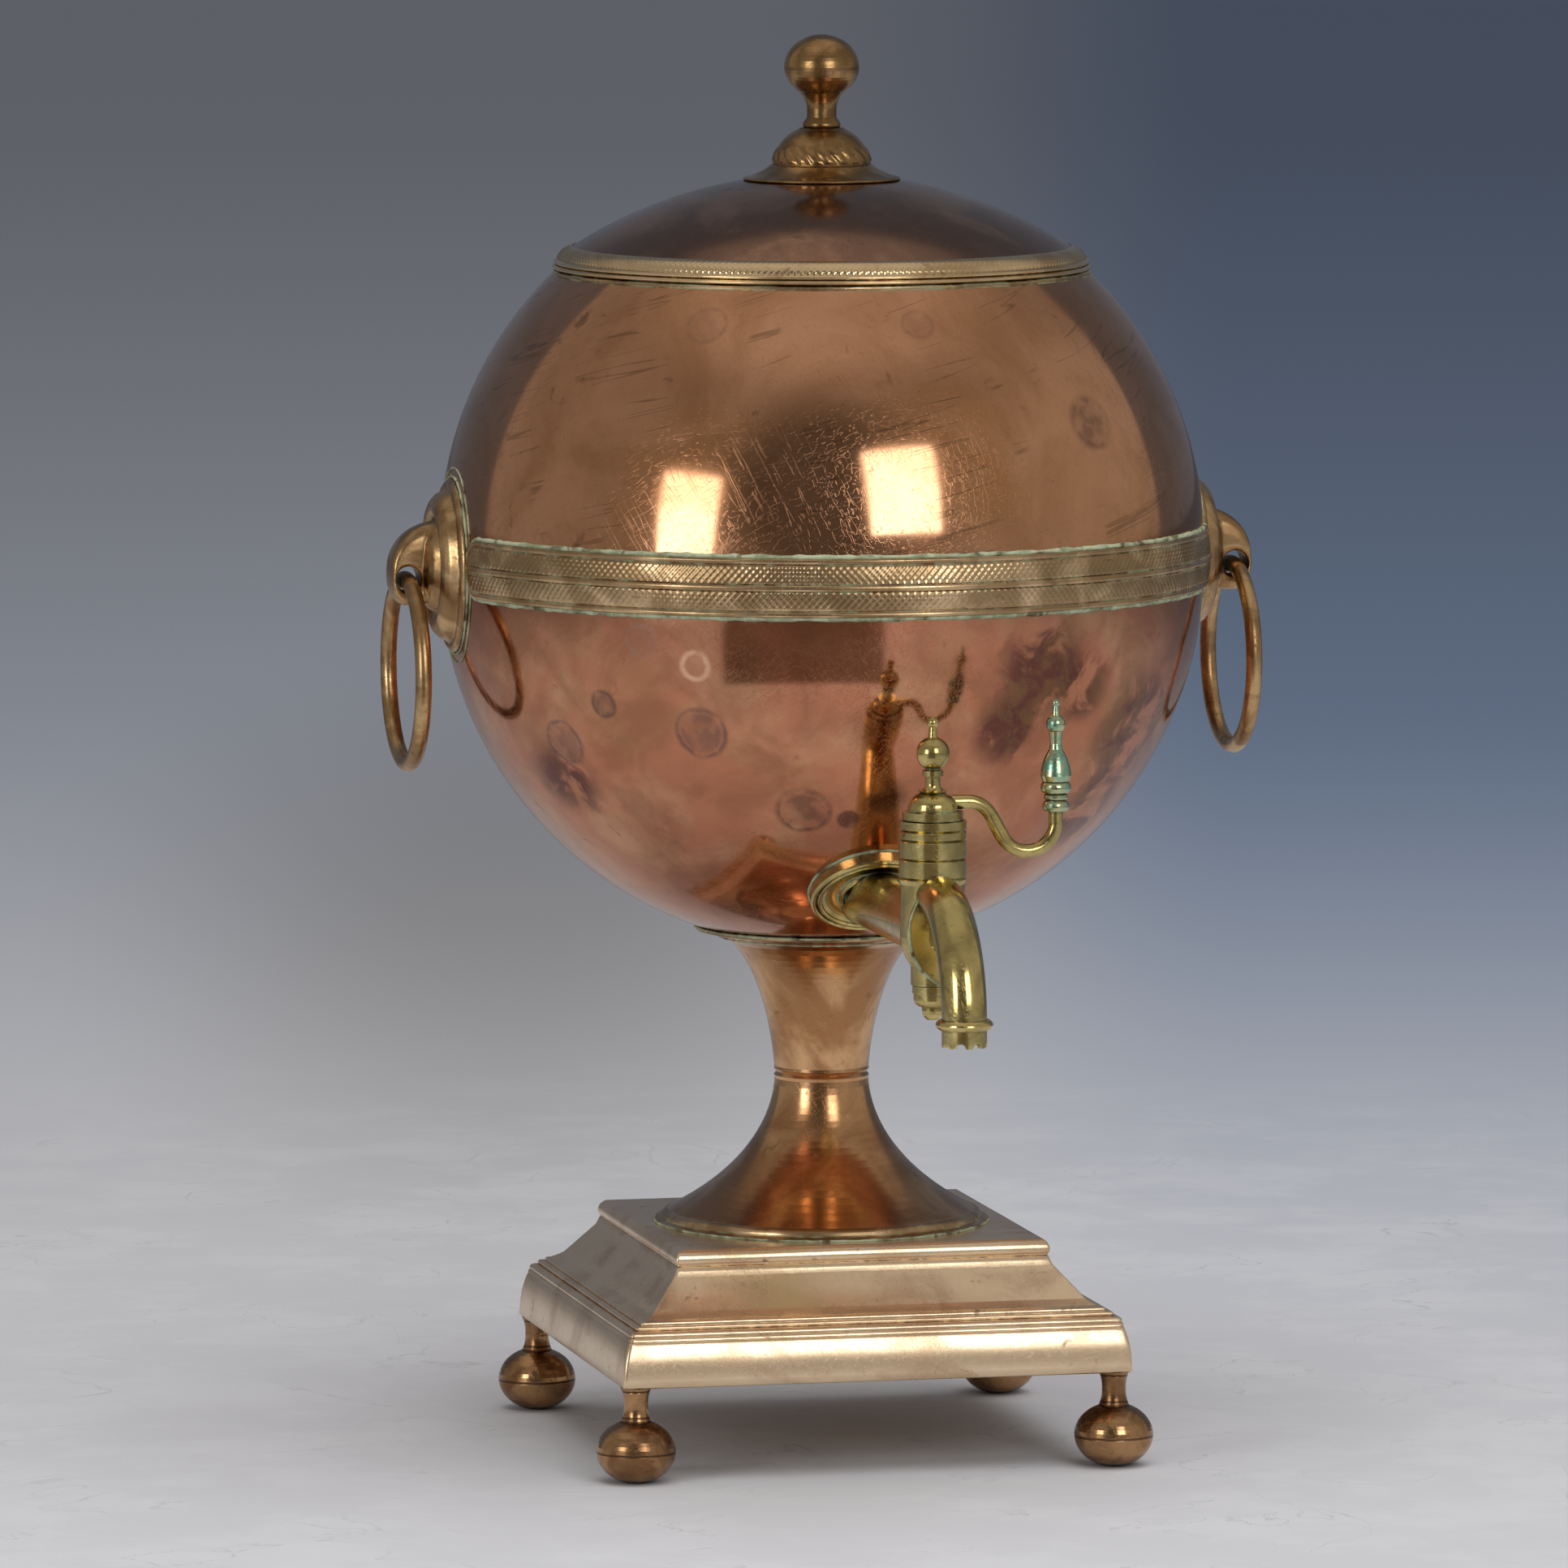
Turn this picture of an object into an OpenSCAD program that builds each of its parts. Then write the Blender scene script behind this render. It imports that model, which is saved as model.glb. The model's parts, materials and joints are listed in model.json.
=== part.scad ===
// Hot-water urn: a ball bowl on a pedestal and a square plinth, with a lift-off lid,
// a plug tap, two ring handles and an iron heating slug in a dry well.
// Millimetres, +Z up. The origin is on the ground under the bowl's axis, and the tap faces -Y.

/* [Feet] */
// Distance from the plinth's side to a foot's centre
foot_inset = 5.1; // [5:0.1:20]
// Radius of the flattened ball
foot_ball_r = 12.8; // [10:0.1:15]
// Half height of the ball before it is filed flat
foot_ball_half_h = 10.4; // [9:0.1:12]
// How much is filed off under the ball
foot_flat = 0.3; // [0.2:0.05:0.8]
// Radius of the rings at the neck's two ends
foot_ring_r = 5; // [4.4:0.1:6]
// Radius of the neck at its waist
foot_waist_r = 3.9; // [3:0.1:4.3]
// Height of the neck
foot_neck_h = 11.1; // [6:0.1:16]
// Radius of the threaded stud
foot_stud_r = 1.6; // [1.2:0.1:2]
// Side of the square nut
foot_nut_w = 5; // [4.4:0.1:5.2]
// Height of the square nut
foot_nut_h = 3; // [2:0.1:5]
// Side of the pad in each corner of the plinth
pad_w = 16; // [12:0.5:24]
// Thickness of the pad
pad_h = 3; // [2:0.1:5]

/* [Plinth] */
// Half the plinth's width at the bottom
plinth_half_w = 84.1; // [78:0.1:100]
// Half the width of its top
plinth_top_half_w = 59.5; // [57:0.1:70]
// Height of the upright border
border_h = 17.8; // [12:0.1:22]
// How far the border leans in at its top
border_lean = 3.7; // [2:0.1:6]
// Height of the two small steps over the border
step_h = 2.7; // [1.5:0.1:4]
// Width of the two small steps
step_w = 4.5; // [3:0.1:7]
// Height of the hollow moulding
cavetto_h = 16.2; // [12:0.1:22]
// Height of the lip over the hollow moulding
top_lip_h = 4.5; // [3:0.1:6]
// Width of the lip's own step
top_lip_w = 2.5; // [1.5:0.1:4]
// How far the moulding is hollowed
cavetto_sag = 1.8; // [0.5:0.1:3]
// Wall of the cast plinth
plinth_wall = 1.3; // [1:0.1:1.4]

/* [Pedestal] */
// Outer radius of the ring under the trumpet
pedestal_ring_r = 54.6; // [52.5:0.1:57]
// Height of that ring
pedestal_ring_h = 3.8; // [2:0.1:6]
// Radius of the trumpet's foot
trumpet_r = 50.3; // [46:0.1:51.5]
// Height of the trumpet
trumpet_h = 45.2; // [38:0.1:60]
// Radius of the stem at its waist
waist_r = 15.3; // [14:0.1:18]
// Height of the upper stem
cone_h = 45; // [38:0.1:60]
// Radius of the upper stem's top
cone_r = 33.8; // [30:0.1:37]
// Share of the upper stem's spread that is a plain taper
cone_taper = 3; // [0:0.1:6]
// Wall of the trumpet and the upper stem
stem_wall = 2; // [1.5:0.1:2.4]
// Wall of the sleeve inside the waist
sleeve_wall = 1.8; // [1.2:0.1:2.4]
// Length of the sleeve
sleeve_h = 20; // [12:0.5:30]
// Radius on which the bowl rests
bowl_seat_r = 40; // [38:0.1:44]
// Height of the seat under the bowl
bowl_seat_h = 3.2; // [2.6:0.1:5]
// How far the seat's lip stands out past the bowl's rest
bowl_seat_lip = 1.2; // [0.6:0.1:2.5]

/* [Tie rod] */
// Radius of the rod through the stem
rod_r = 3; // [2:0.1:4]
// Radius of the boss under the bowl
boss_r = 12; // [8:0.1:14]
// Height of the boss
boss_h = 9.5; // [8:0.1:12]
// How deep the rod screws into the boss
rod_grip = 8; // [5:0.1:8]
// Radius of the washer under the plinth's top
tie_washer_r = 11; // [8:0.1:14]
// Thickness of the washer
tie_washer_h = 2; // [1:0.1:3]
// Radius over the corners of the nut
tie_nut_r = 6.5; // [5.5:0.1:8]
// Height of the nut
tie_nut_h = 5.5; // [4:0.1:8]
// Length of rod that shows below the nut
rod_end = 2; // [1:0.1:4]

/* [Bowl] */
// Outer radius of the bowl
bowl_r = 124.6; // [118:0.1:132]
// Thickness of the copper sheet
bowl_wall = 1.2; // [0.8:0.1:1.8]
// Height of the straight joint between the two halves
bowl_joint_h = 6.8; // [2:0.1:12]
// Outer radius where the upper half is cut for the mouth
mouth_r = 88; // [80:0.1:96]

/* [Girdle band] */
// Height of the band
band_h = 19; // [14:0.1:24]
// How far the band's edge beads stand out
band_edge = 1.1; // [0.8:0.1:2]
// How far the band's middle ridge stands out
band_ridge = 2.6; // [1.8:0.1:4]
// Height of each edge bead and of the middle ridge
band_bead_h = 2; // [1.4:0.1:3]

/* [Mouth collar] */
// How far the bowl's cut edge stands out past the collar's lip
mouth_edge = 0.6; // [0.4:0.1:1.5]
// Width of the lip
collar_w = 7; // [5.8:0.1:10]
// Height of the lip
collar_h = 1.4; // [1:0.1:3]
// How far the collar reaches into the bowl
collar_depth = 6; // [3:0.1:10]
// Thickness of the part inside the bowl
collar_wall = 1.4; // [1:0.1:2]

/* [Lid] */
// How far the lid's bead stands out past the collar's lip
lid_overhang = 0.2; // [0:0.1:1.6]
// Height of the bead
lid_bead_h = 2.4; // [2:0.1:3]
// Height from the lid's underside to the edge of the dome
lid_rim_h = 7.1; // [6:0.1:9]
// Distance from the sleeve's outside to the dome's edge
dome_land = 1.3; // [1:0.1:3]
// Radius of the dome's curve
dome_r = 150.4; // [130:0.2:180]
// Wall of the sleeve that drops into the mouth
bezel_wall = 1.2; // [0.8:0.1:2]
// How deep the sleeve reaches below the lid's bead
bezel_depth = 12; // [6:0.5:18]

/* [Finial] */
// Radius of the finial's foot
finial_foot_r = 25.6; // [23:0.1:29]
// Height of the foot
finial_foot_h = 17; // [15:0.1:22]
// Radius where the foot's hollow skirt meets its bell
finial_bell_r = 15.9; // [13:0.1:19]
// Radius at the top of the bell
finial_top_r = 7.4; // [6.4:0.1:8]
// Radius of the neck
finial_neck_r = 4.8; // [3.6:0.1:5.4]
// Height of the neck
finial_neck_h = 11.5; // [8:0.1:16]
// Radius of the flattened ball
finial_ball_r = 12.2; // [9:0.1:15]
// Half height of the ball
finial_ball_half_h = 10.4; // [8:0.1:14]
// Radius of the stud under the ball
finial_stud_r = 2.5; // [1.6:0.1:3]
// Radius of the washer inside the lid
finial_washer_r = 8; // [6:0.1:11]
// Thickness of the washer
finial_washer_h = 1.2; // [0.8:0.1:2]
// Radius over the corners of the nut inside the lid
finial_nut_r = 5; // [4.4:0.1:6]
// Height of the nut
finial_nut_h = 4; // [3:0.1:6]

/* [Heater] */
// Outer radius of the dry well
well_r = 27; // [25:0.1:32]
// Wall of the well
well_wall = 1.5; // [1:0.1:2]
// Height of the well's top over the bowl's joint
well_top = 61; // [45:0.5:62]
// Thickness of the well's floor
well_floor_h = 3; // [2:0.1:5]
// Height of the floor's underside over the bottom of the bowl
well_floor_lift = 7; // [6:0.1:12]
// Width of the rim around the well's top
well_rim_w = 4; // [2:0.1:6]
// Radius of the iron slug
slug_r = 22.5; // [16:0.1:23.4]
// Length of the iron slug
slug_h = 140; // [100:0.5:142]
// Radius of the eye on the slug, to the middle of its rod
slug_eye_r = 7.5; // [6:0.1:8]
// Radius of the eye's rod
slug_eye_rod_r = 2.2; // [1.6:0.1:2.4]
// Thickness of the well's cover
cover_h = 2; // [1.4:0.1:3]
// Depth of the cover's spigot
cover_spigot_h = 4; // [2:0.1:5]
// Height of the cover's knob
cover_knob_h = 11; // [8:0.1:13]
// Radius of the cover's knob
cover_knob_r = 7; // [5:0.1:10]

/* [Ring handles] */
// Radius of the ring, to the middle of its rod
ring_r = 29.9; // [26:0.1:36]
// Radius of the ring's rod
ring_rod_r = 2.65; // [2:0.05:2.9]
// Height of the lug's hole below the middle of the band
lug_drop = 5.1; // [3:0.1:7]
// Radius of the lug's hole
lug_hole_r = 4.1; // [4:0.1:4.5]
// Width of the lug
lug_w = 13; // [10:0.1:15]
// How far the lug's nose stands out from the bowl
lug_out = 19.3; // [18.8:0.1:22.4]
// Metal in front of the lug's hole
lug_nose = 1.8; // [1.5:0.1:3]
// Half width of the oval plate
plate_half_w = 24; // [20:0.1:28]
// Half height of the oval plate
plate_half_h = 28.2; // [26:0.1:32]
// Height of the plate's middle below the middle of the band
plate_drop = 1.3; // [0:0.1:3]
// How far the plate's middle stands out from the bowl
plate_rise = 9.2; // [7:0.1:9.6]
// Radius of the plate's bulge
plate_bulge_r = 56; // [50:0.5:90]

/* [Tap body] */
// Distance from the bowl's side to the axis of the tap's barrel
tap_out = 32.4; // [26:0.1:44]
// Height of the tap's inlet below the middle of the lower half of the bowl
tap_drop = 101; // [96:0.1:104]
// Height of the flange's middle over the inlet
flange_lift = 2.8; // [1:0.1:5]
// Radius of the flange
flange_r = 21; // [19.5:0.1:24]
// How far the flange's rims stand out
flange_rise = 2.8; // [2:0.1:5]
// Radius of the tap's shank
shank_r = 9.8; // [8:0.1:10.2]
// Radius of the shank's end in the bowl
spigot_r = 6; // [5:0.1:7]
// Length of the shank's end inside the bowl
spigot_in = 12; // [4:0.5:20]
// Radius of the inlet's bore
inlet_r = 4; // [3:0.1:4.5]
// Radius of the barrel
barrel_r = 10.7; // [9.8:0.1:12]
// Height of the barrel
barrel_h = 52; // [48:0.1:58]
// Height of the barrel's narrow lower end
barrel_end_h = 6; // [3:0.1:7]
// Radius at the barrel's bottom
barrel_foot_r = 6.9; // [6.7:0.1:8]
// Height of the inlet over the barrel's bottom
inlet_lift = 18.2; // [17.5:0.1:20]

/* [Tap spout] */
// Height of the spout's root over the inlet
spout_rise = 10.3; // [8:0.1:12]
// Radius of the spout's bend, to the middle of the tube
spout_bend_r = 36; // [30:0.1:42]
// Distance from the barrel's axis to the centre of the bend
spout_bend_x = 7; // [4:0.1:9]
// Outer radius of the tube
spout_r = 7.1; // [6.6:0.1:8]
// Radius of the spout's bore
spout_bore_r = 5; // [4:0.1:5.4]
// Length of the straight tip
spout_tip_h = 7; // [5:0.1:12]
// Radius of the ring over the tip
spout_ring_r = 9; // [8.2:0.1:11]
// Number of scallops in the lip
scallops = 8; // [4:1:12]
// Radius of each scallop
scallop_r = 1.6; // [0.8:0.1:2]
// Half width of the shield behind the spout
shield_half_w = 9.9; // [8.5:0.1:11]
// Half height of the shield
shield_half_h = 16.4; // [13:0.1:17]
// Height of the shield's middle over the inlet
shield_lift = -0.8; // [-2:0.1:0.6]
// Distance from the barrel's axis to the shield's face
shield_face = 9.6; // [9:0.1:12]

/* [Tap key] */
// Radius of the plug's taper at the top of the barrel
plug_top_r = 7.2; // [6.6:0.1:8]
// Radius of the plug's taper at the bottom of the barrel
plug_foot_r = 5.2; // [4.8:0.1:5.6]
// Width of the slot that the water passes through
port_w = 6.4; // [4:0.1:7.5]
// Radius of the plug's collar over the barrel
plug_collar_r = 9.6; // [8:0.1:10.5]
// Height of the collar
plug_collar_h = 2.5; // [1.6:0.1:4]
// Radius of the lever's hub
hub_r = 7.9; // [7:0.1:8.5]
// Height of the hub
hub_h = 6.8; // [6:0.1:9]
// Radius of the threaded end below the plug
plug_end_r = 2.4; // [1.8:0.1:3]
// Radius of the washer below the barrel
plug_washer_r = 6.4; // [5:0.1:6.6]
// Thickness of the washer
plug_washer_h = 2.4; // [1.2:0.1:3]
// Radius of the button nut below the washer
plug_button_r = 6; // [5:0.1:6.6]
// Height of the button nut
plug_button_h = 8.4; // [7:0.1:12]
// Radius of the ball on the key
key_ball_r = 5.3; // [5:0.1:7]
// Height of the neck below the ball
key_neck_h = 6.8; // [6:0.1:9]
// Radius of that neck
key_neck_r = 2.4; // [1.8:0.1:3]
// Height of the little tip over the ball
key_tip_h = 6.3; // [5:0.1:9]
// Radius of the bead on the tip
key_bead_r = 1.9; // [1.2:0.1:2]

/* [Lever] */
// Radius of the lever's rod
lever_rod_r = 2.2; // [1.5:0.05:2.4]
// Distance from the barrel's axis to the lever's crest
crest_x = 11.2; // [10:0.1:13]
// Height of the crest over the top of the barrel
crest_lift = 5.6; // [5.4:0.1:6.4]
// Radius of the lever's bend at the crest
crest_bend_r = 8.7; // [8.2:0.1:9.4]
// Distance from the barrel's axis to the grip
grip_x = 39.8; // [39.4:0.1:44]
// Radius of the lever's bend below the grip
hook_bend_r = 9.2; // [8:0.1:9.6]
// Height of the centre of that bend below the top of the barrel
hook_drop = 1.3; // [0:0.1:4]
// Height of the straight rod between that bend and the grip
grip_lift = 3.4; // [2:0.1:8]
// Height of the grip from the rod's end to its tip
grip_h = 35.4; // [28:0.1:42]
// Largest radius of the grip
grip_r = 5.1; // [4.4:0.1:6.4]

/* [Fits] */
// Gap between a resting piece and its seat
seat_gap = 0.3; // [0.2:0.05:0.4]
// Gap around the tap's plug
running_gap = 0.05; // [0.02:0.01:0.1]
// Gap around threads and soldered joints
slip_gap = 0.1; // [0.05:0.01:0.15]
// Gap between the lid's sleeve and the collar
lid_gap = 0.5; // [0.3:0.1:0.8]
// Gap between the ring's rod and the lug's hole
ring_gap = 0.3; // [0.2:0.05:0.4]

/* [Hidden] */
$fn = 96;

copper = "#a8694a";
pale_brass = "#b9885f";
old_brass = "#9c7a45";
tap_brass = "#a08f4a";
dark_bronze = "#7c5334";
iron = "#4c4a48";

// Heights, from the ground up
ball_z = foot_ball_half_h - foot_flat;
neck_z = ball_z + foot_ball_half_h * sqrt(1 - pow(foot_ring_r / foot_ball_r, 2));
plinth_z = neck_z + foot_neck_h;
cavetto_z = border_h + step_h;
plinth_h = cavetto_z + cavetto_h + top_lip_h;
trumpet_z = plinth_z + plinth_h + pedestal_ring_h;
waist_z = trumpet_z + trumpet_h;
seat_z = waist_z + cone_h;
seat_top_z = seat_z + bowl_seat_h;
bowl_z = seat_top_z + sqrt(pow(bowl_r, 2) - pow(bowl_seat_r, 2));
joint_top_z = bowl_z + bowl_joint_h;
band_z = bowl_z + bowl_joint_h / 2;
mouth_z = joint_top_z + sqrt(pow(bowl_r, 2) - pow(mouth_r, 2));
collar_r = mouth_r - mouth_edge;
collar_bore_r = collar_r - collar_w;
bezel_r = collar_bore_r - lid_gap;
dome_edge_r = bezel_r + dome_land;
lid_r = collar_r + lid_overhang;
lid_z = mouth_z + collar_h + seat_gap;
dome_edge_z = lid_z + lid_rim_h;
dome_z = dome_edge_z - sqrt(pow(dome_r, 2) - pow(dome_edge_r, 2));
finial_z = dome_z + sqrt(pow(dome_r, 2) - pow(finial_foot_r, 2));
finial_neck_z = finial_z + finial_foot_h;

// Places
foot_x = plinth_half_w - foot_inset;
cavetto_half_w = plinth_half_w - border_lean - step_w;
waist_bore_r = waist_r - stem_wall;
finial_nut_z = dome_z + sqrt(pow(dome_r - bowl_wall, 2) - pow(finial_washer_r, 2)) - finial_washer_h;
boss_z = bowl_z - bowl_r - boss_h;
plinth_ceiling_z = plinth_z + plinth_h - plinth_wall;
tie_nut_z = plinth_ceiling_z - tie_washer_h - tie_nut_h;
well_floor_z = bowl_z - bowl_r + well_floor_lift;
well_top_z = joint_top_z + well_top;
well_bore_r = well_r - well_wall;
slug_z = well_floor_z + well_floor_h + seat_gap;
cover_z = well_top_z + seat_gap;
tap_reach = bowl_r + tap_out;
inlet_z = bowl_z - tap_drop;
flange_angle = asin((tap_drop - flange_lift) / bowl_r);
spigot_y = sqrt(pow(bowl_r, 2) - pow(tap_drop, 2)) - spigot_in;
barrel_z = inlet_z - inlet_lift;
barrel_top_z = barrel_z + barrel_h;
outlet_z = inlet_z + spout_rise;
bend_z = outlet_z - spout_bend_r;
spout_end_z = bend_z - spout_tip_h;
collar_top_z = barrel_top_z + seat_gap + plug_collar_h;
hub_top_z = collar_top_z + hub_h;
plug_washer_z = barrel_z - seat_gap - plug_washer_h;
hook_x = grip_x - hook_bend_r;
hook_z = barrel_top_z - hook_drop;
crest_z = barrel_top_z + crest_lift - crest_bend_r;
lug_reach = bowl_r + lug_out;
ring_x = lug_reach - lug_nose - lug_hole_r;
ring_sag = ring_r - sqrt(pow(ring_r, 2) - pow(lug_w / 2, 2));
lug_hole_z = band_z - lug_drop;
ring_pin_z = lug_hole_z - (lug_hole_r - ring_rod_r - ring_sag - ring_gap);
band_end_angle = asin((plate_half_w + seat_gap) / bowl_r);

// ---- Shared shapes ----

// Points of a shallow curve after p and up to q, swelling to the left of its way by rise
function bow(p, q, rise, steps = 8) =
    [for (i = [1:steps]) let (t = i / steps, way = q - p)
        p + way * t + [-way.y, way.x] / norm(way) * rise * 4 * t * (1 - t)];

// How far a trumpet has spread at the share s of its height, 0 at its waist and 1 at its mouth
function flare(s, sharpness) =
    (1 - sqrt(1 - pow(s * sharpness, 2))) / (1 - sqrt(1 - pow(sharpness, 2)));

// A solid turned about the Z axis, from points of radius and height
module turned(points) {
    rotate_extrude() polygon(points);
}

module tube(r, bore_r, h) {
    difference() {
        cylinder(r = r, h = h);
        translate([0, 0, -1]) cylinder(r = bore_r, h = h + 2);
    }
}

// A ball around the middle of the bowl's lower half, and one around the middle of the lid's dome
module bowl_ball(r) {
    translate([0, 0, bowl_z]) sphere(r = r, $fn = 240);
}

module dome_ball(r) {
    translate([0, 0, dome_z]) sphere(r = r, $fn = 240);
}

// A round rod bent to an arc in the XZ plane, between two angles from +X
module bent_rod(x, z, bend_r, from, to, rod_r) {
    translate([x, 0, z]) rotate([90, 0, 0]) rotate([0, 0, from])
        rotate_extrude(angle = to - from) translate([bend_r, 0]) circle(r = rod_r);
}

// A round rod along -Y from y to far_y, at a height
module level_rod(r, y, far_y, z) {
    translate([0, y, z]) rotate([90, 0, 0]) cylinder(r = r, h = y - far_y);
}

// ---- Feet ----

module foot(side_x, side_y) {
    flat_angle = -asin(ball_z / foot_ball_half_h);
    ring_angle = acos(foot_ring_r / foot_ball_r);
    ball_steps = 20;
    ball = [for (i = [0:ball_steps]) let (a = flat_angle + (ring_angle - flat_angle) * i / ball_steps)
        [foot_ball_r * cos(a), ball_z + foot_ball_half_h * sin(a)]];
    stud_top_z = plinth_z + pad_h + foot_nut_h + 1;
    waist = [foot_waist_r, neck_z + foot_neck_h / 2];
    color(dark_bronze) translate([side_x * foot_x, side_y * foot_x, 0]) turned(concat(
        [[0, 0]],
        ball,
        bow([foot_ring_r, neck_z], waist, (foot_ring_r - foot_waist_r) / 3),
        bow(waist, [foot_ring_r, plinth_z], (foot_ring_r - foot_waist_r) / 3),
        [[foot_stud_r, plinth_z], [foot_stud_r, stud_top_z], [0, stud_top_z]]
    ));
}

module foot_front_left() { foot(-1, -1); }
module foot_front_right() { foot(1, -1); }
module foot_back_left() { foot(-1, 1); }
module foot_back_right() { foot(1, 1); }

module at_feet() {
    for (x = [-1, 1], y = [-1, 1]) translate([x * foot_x, y * foot_x, plinth_z]) children();
}

module foot_nuts() {
    color(iron) at_feet() translate([0, 0, pad_h]) difference() {
        translate([-foot_nut_w / 2, -foot_nut_w / 2, 0]) cube([foot_nut_w, foot_nut_w, foot_nut_h]);
        translate([0, 0, -1]) cylinder(r = foot_stud_r + slip_gap, h = foot_nut_h + 2);
    }
}

module corner_pads() {
    color(old_brass) difference() {
        intersection() {
            plinth_solid(plinth_wall);
            for (x = [-1, 1], y = [-1, 1]) {
                corner = plinth_half_w - pad_w / 2;
                translate([x * corner, y * corner, plinth_z + pad_h / 2])
                    cube([pad_w, pad_w, pad_h], center = true);
            }
        }
        at_feet() translate([0, 0, -1]) cylinder(r = foot_stud_r + slip_gap, h = pad_h + 2);
    }
}

// ---- Plinth ----

// Half of the plinth's outline, from its lower edge up
function plinth_edge() =
    let (
        border_top = plinth_half_w - border_lean,
        shoulder = [plinth_half_w - border_lean * 0.35, border_h * 0.6],
        lip_half_w = plinth_top_half_w + top_lip_w
    )
    concat(
        [[plinth_half_w, 0], shoulder],
        bow(shoulder, [border_top, border_h], -0.5, 4),
        [[border_top - step_w * 0.4, border_h], [border_top - step_w * 0.4, border_h + step_h / 2]],
        [[cavetto_half_w, border_h + step_h / 2], [cavetto_half_w, cavetto_z]],
        bow([cavetto_half_w, cavetto_z], [lip_half_w, cavetto_z + cavetto_h], cavetto_sag),
        [[plinth_top_half_w + top_lip_w * 0.3, cavetto_z + cavetto_h + top_lip_h * 0.75]],
        [[plinth_top_half_w, plinth_h]]
    );

// A square block with mitred mouldings, its outline shifted in and down by the wall for the hollow
module plinth_solid(wall) {
    right = [for (p = plinth_edge()) p - [wall, wall]];
    left = [for (i = [len(right) - 1:-1:0]) [-right[i].x, right[i].y]];
    outline = concat(right, left);
    length = 3 * plinth_half_w;
    translate([0, 0, plinth_z]) intersection() {
        rotate([90, 0, 0]) linear_extrude(height = length, center = true) polygon(outline);
        rotate([90, 0, 90]) linear_extrude(height = length, center = true) polygon(outline);
    }
}

module plinth() {
    color(pale_brass) difference() {
        plinth_solid(0);
        plinth_solid(plinth_wall);
        translate([0, 0, plinth_ceiling_z - 1]) cylinder(r = rod_r + slip_gap, h = plinth_wall + 2);
    }
}

// ---- Pedestal ----

module pedestal_ring() {
    bore_r = trumpet_r - 3 * stem_wall;
    plate_h = pedestal_ring_h / 3;
    bead_r = (pedestal_ring_r + trumpet_r) / 2;
    color(old_brass) translate([0, 0, plinth_z + plinth_h]) turned(concat(
        [[bore_r, 0], [pedestal_ring_r, 0], [pedestal_ring_r, plate_h / 2], [bead_r, plate_h]],
        bow([bead_r, plate_h], [trumpet_r, pedestal_ring_h], -0.7),
        [[bore_r, pedestal_ring_h]]
    ));
}

// Outer radius of the trumpet and of the upper stem at a share of their height from the waist
function trumpet_radius(s) = waist_r + (trumpet_r - waist_r) * flare(s, 0.76);
function cone_radius(s) = waist_r + cone_taper * s + (cone_r - waist_r - cone_taper) * flare(s, 0.995);

module stem_lower() {
    steps = 22;
    groove = 0.5;
    skin = [for (i = [0:steps]) let (s = 1 - i / steps) [trumpet_radius(s), -s * trumpet_h]];
    bore = [for (i = [steps:-1:0]) skin[i] - [stem_wall, 0]];
    edge = [for (i = [0:steps - 1]) skin[i]];
    color(pale_brass) translate([0, 0, waist_z]) turned(concat(
        edge, [[waist_r + groove / 2, -2 * groove], [waist_r - groove, 0]], bore
    ));
}

module stem_upper() {
    steps = 22;
    groove = 0.5;
    skin = [for (i = [0:steps]) let (s = i / steps) [cone_radius(s), s * cone_h]];
    bore = [for (i = [steps:-1:0]) skin[i] - [stem_wall, 0]];
    edge = [for (i = [1:steps]) skin[i]];
    color(pale_brass) translate([0, 0, waist_z]) turned(concat(
        [[waist_r - groove, 0], [waist_r + groove / 2, 2 * groove]], edge, bore
    ));
}

module stem_sleeve() {
    color(old_brass) translate([0, 0, waist_z - sleeve_h / 2])
        tube(waist_bore_r - slip_gap, waist_bore_r - slip_gap - sleeve_wall, sleeve_h);
}

module bowl_seat() {
    lip_r = bowl_seat_r + bowl_seat_lip;
    lip_h = bowl_seat_h / 3;
    color(old_brass) difference() {
        translate([0, 0, seat_z]) turned(concat(
            [[cone_r - stem_wall, 0], [cone_r, 0]],
            bow([cone_r, 0], [lip_r, bowl_seat_h - lip_h], 0.4),
            [[lip_r, bowl_seat_h], [cone_r - stem_wall, bowl_seat_h]]
        ));
        bowl_ball(bowl_r);
    }
}

// ---- Tie rod ----

module tie_rod() {
    low_z = tie_nut_z - rod_end;
    color(iron) translate([0, 0, low_z]) cylinder(r = rod_r, h = boss_z + rod_grip - low_z);
}

module tie_boss() {
    color(old_brass) difference() {
        translate([0, 0, boss_z]) cylinder(r = boss_r, h = boss_h + boss_r / 4);
        bowl_ball(bowl_r);
        translate([0, 0, boss_z - 1]) cylinder(r = rod_r + slip_gap, h = rod_grip + slip_gap + 1);
    }
}

module tie_washer() {
    color(old_brass) translate([0, 0, plinth_ceiling_z - tie_washer_h])
        tube(tie_washer_r, rod_r + slip_gap, tie_washer_h);
}

module tie_nut() {
    color(iron) translate([0, 0, tie_nut_z]) difference() {
        cylinder(r = tie_nut_r, h = tie_nut_h, $fn = 6);
        translate([0, 0, -1]) cylinder(r = rod_r + slip_gap, h = tie_nut_h + 2);
    }
}

// ---- Bowl ----

// Right half of the bowl's section: two circles with a straight joint between them
module bowl_section(r) {
    intersection() {
        union() {
            translate([0, bowl_z]) circle(r = r);
            translate([0, joint_top_z]) circle(r = r);
            translate([0, bowl_z]) square([r, bowl_joint_h]);
        }
        square([2 * bowl_r, 4 * bowl_r]);
    }
}

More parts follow.
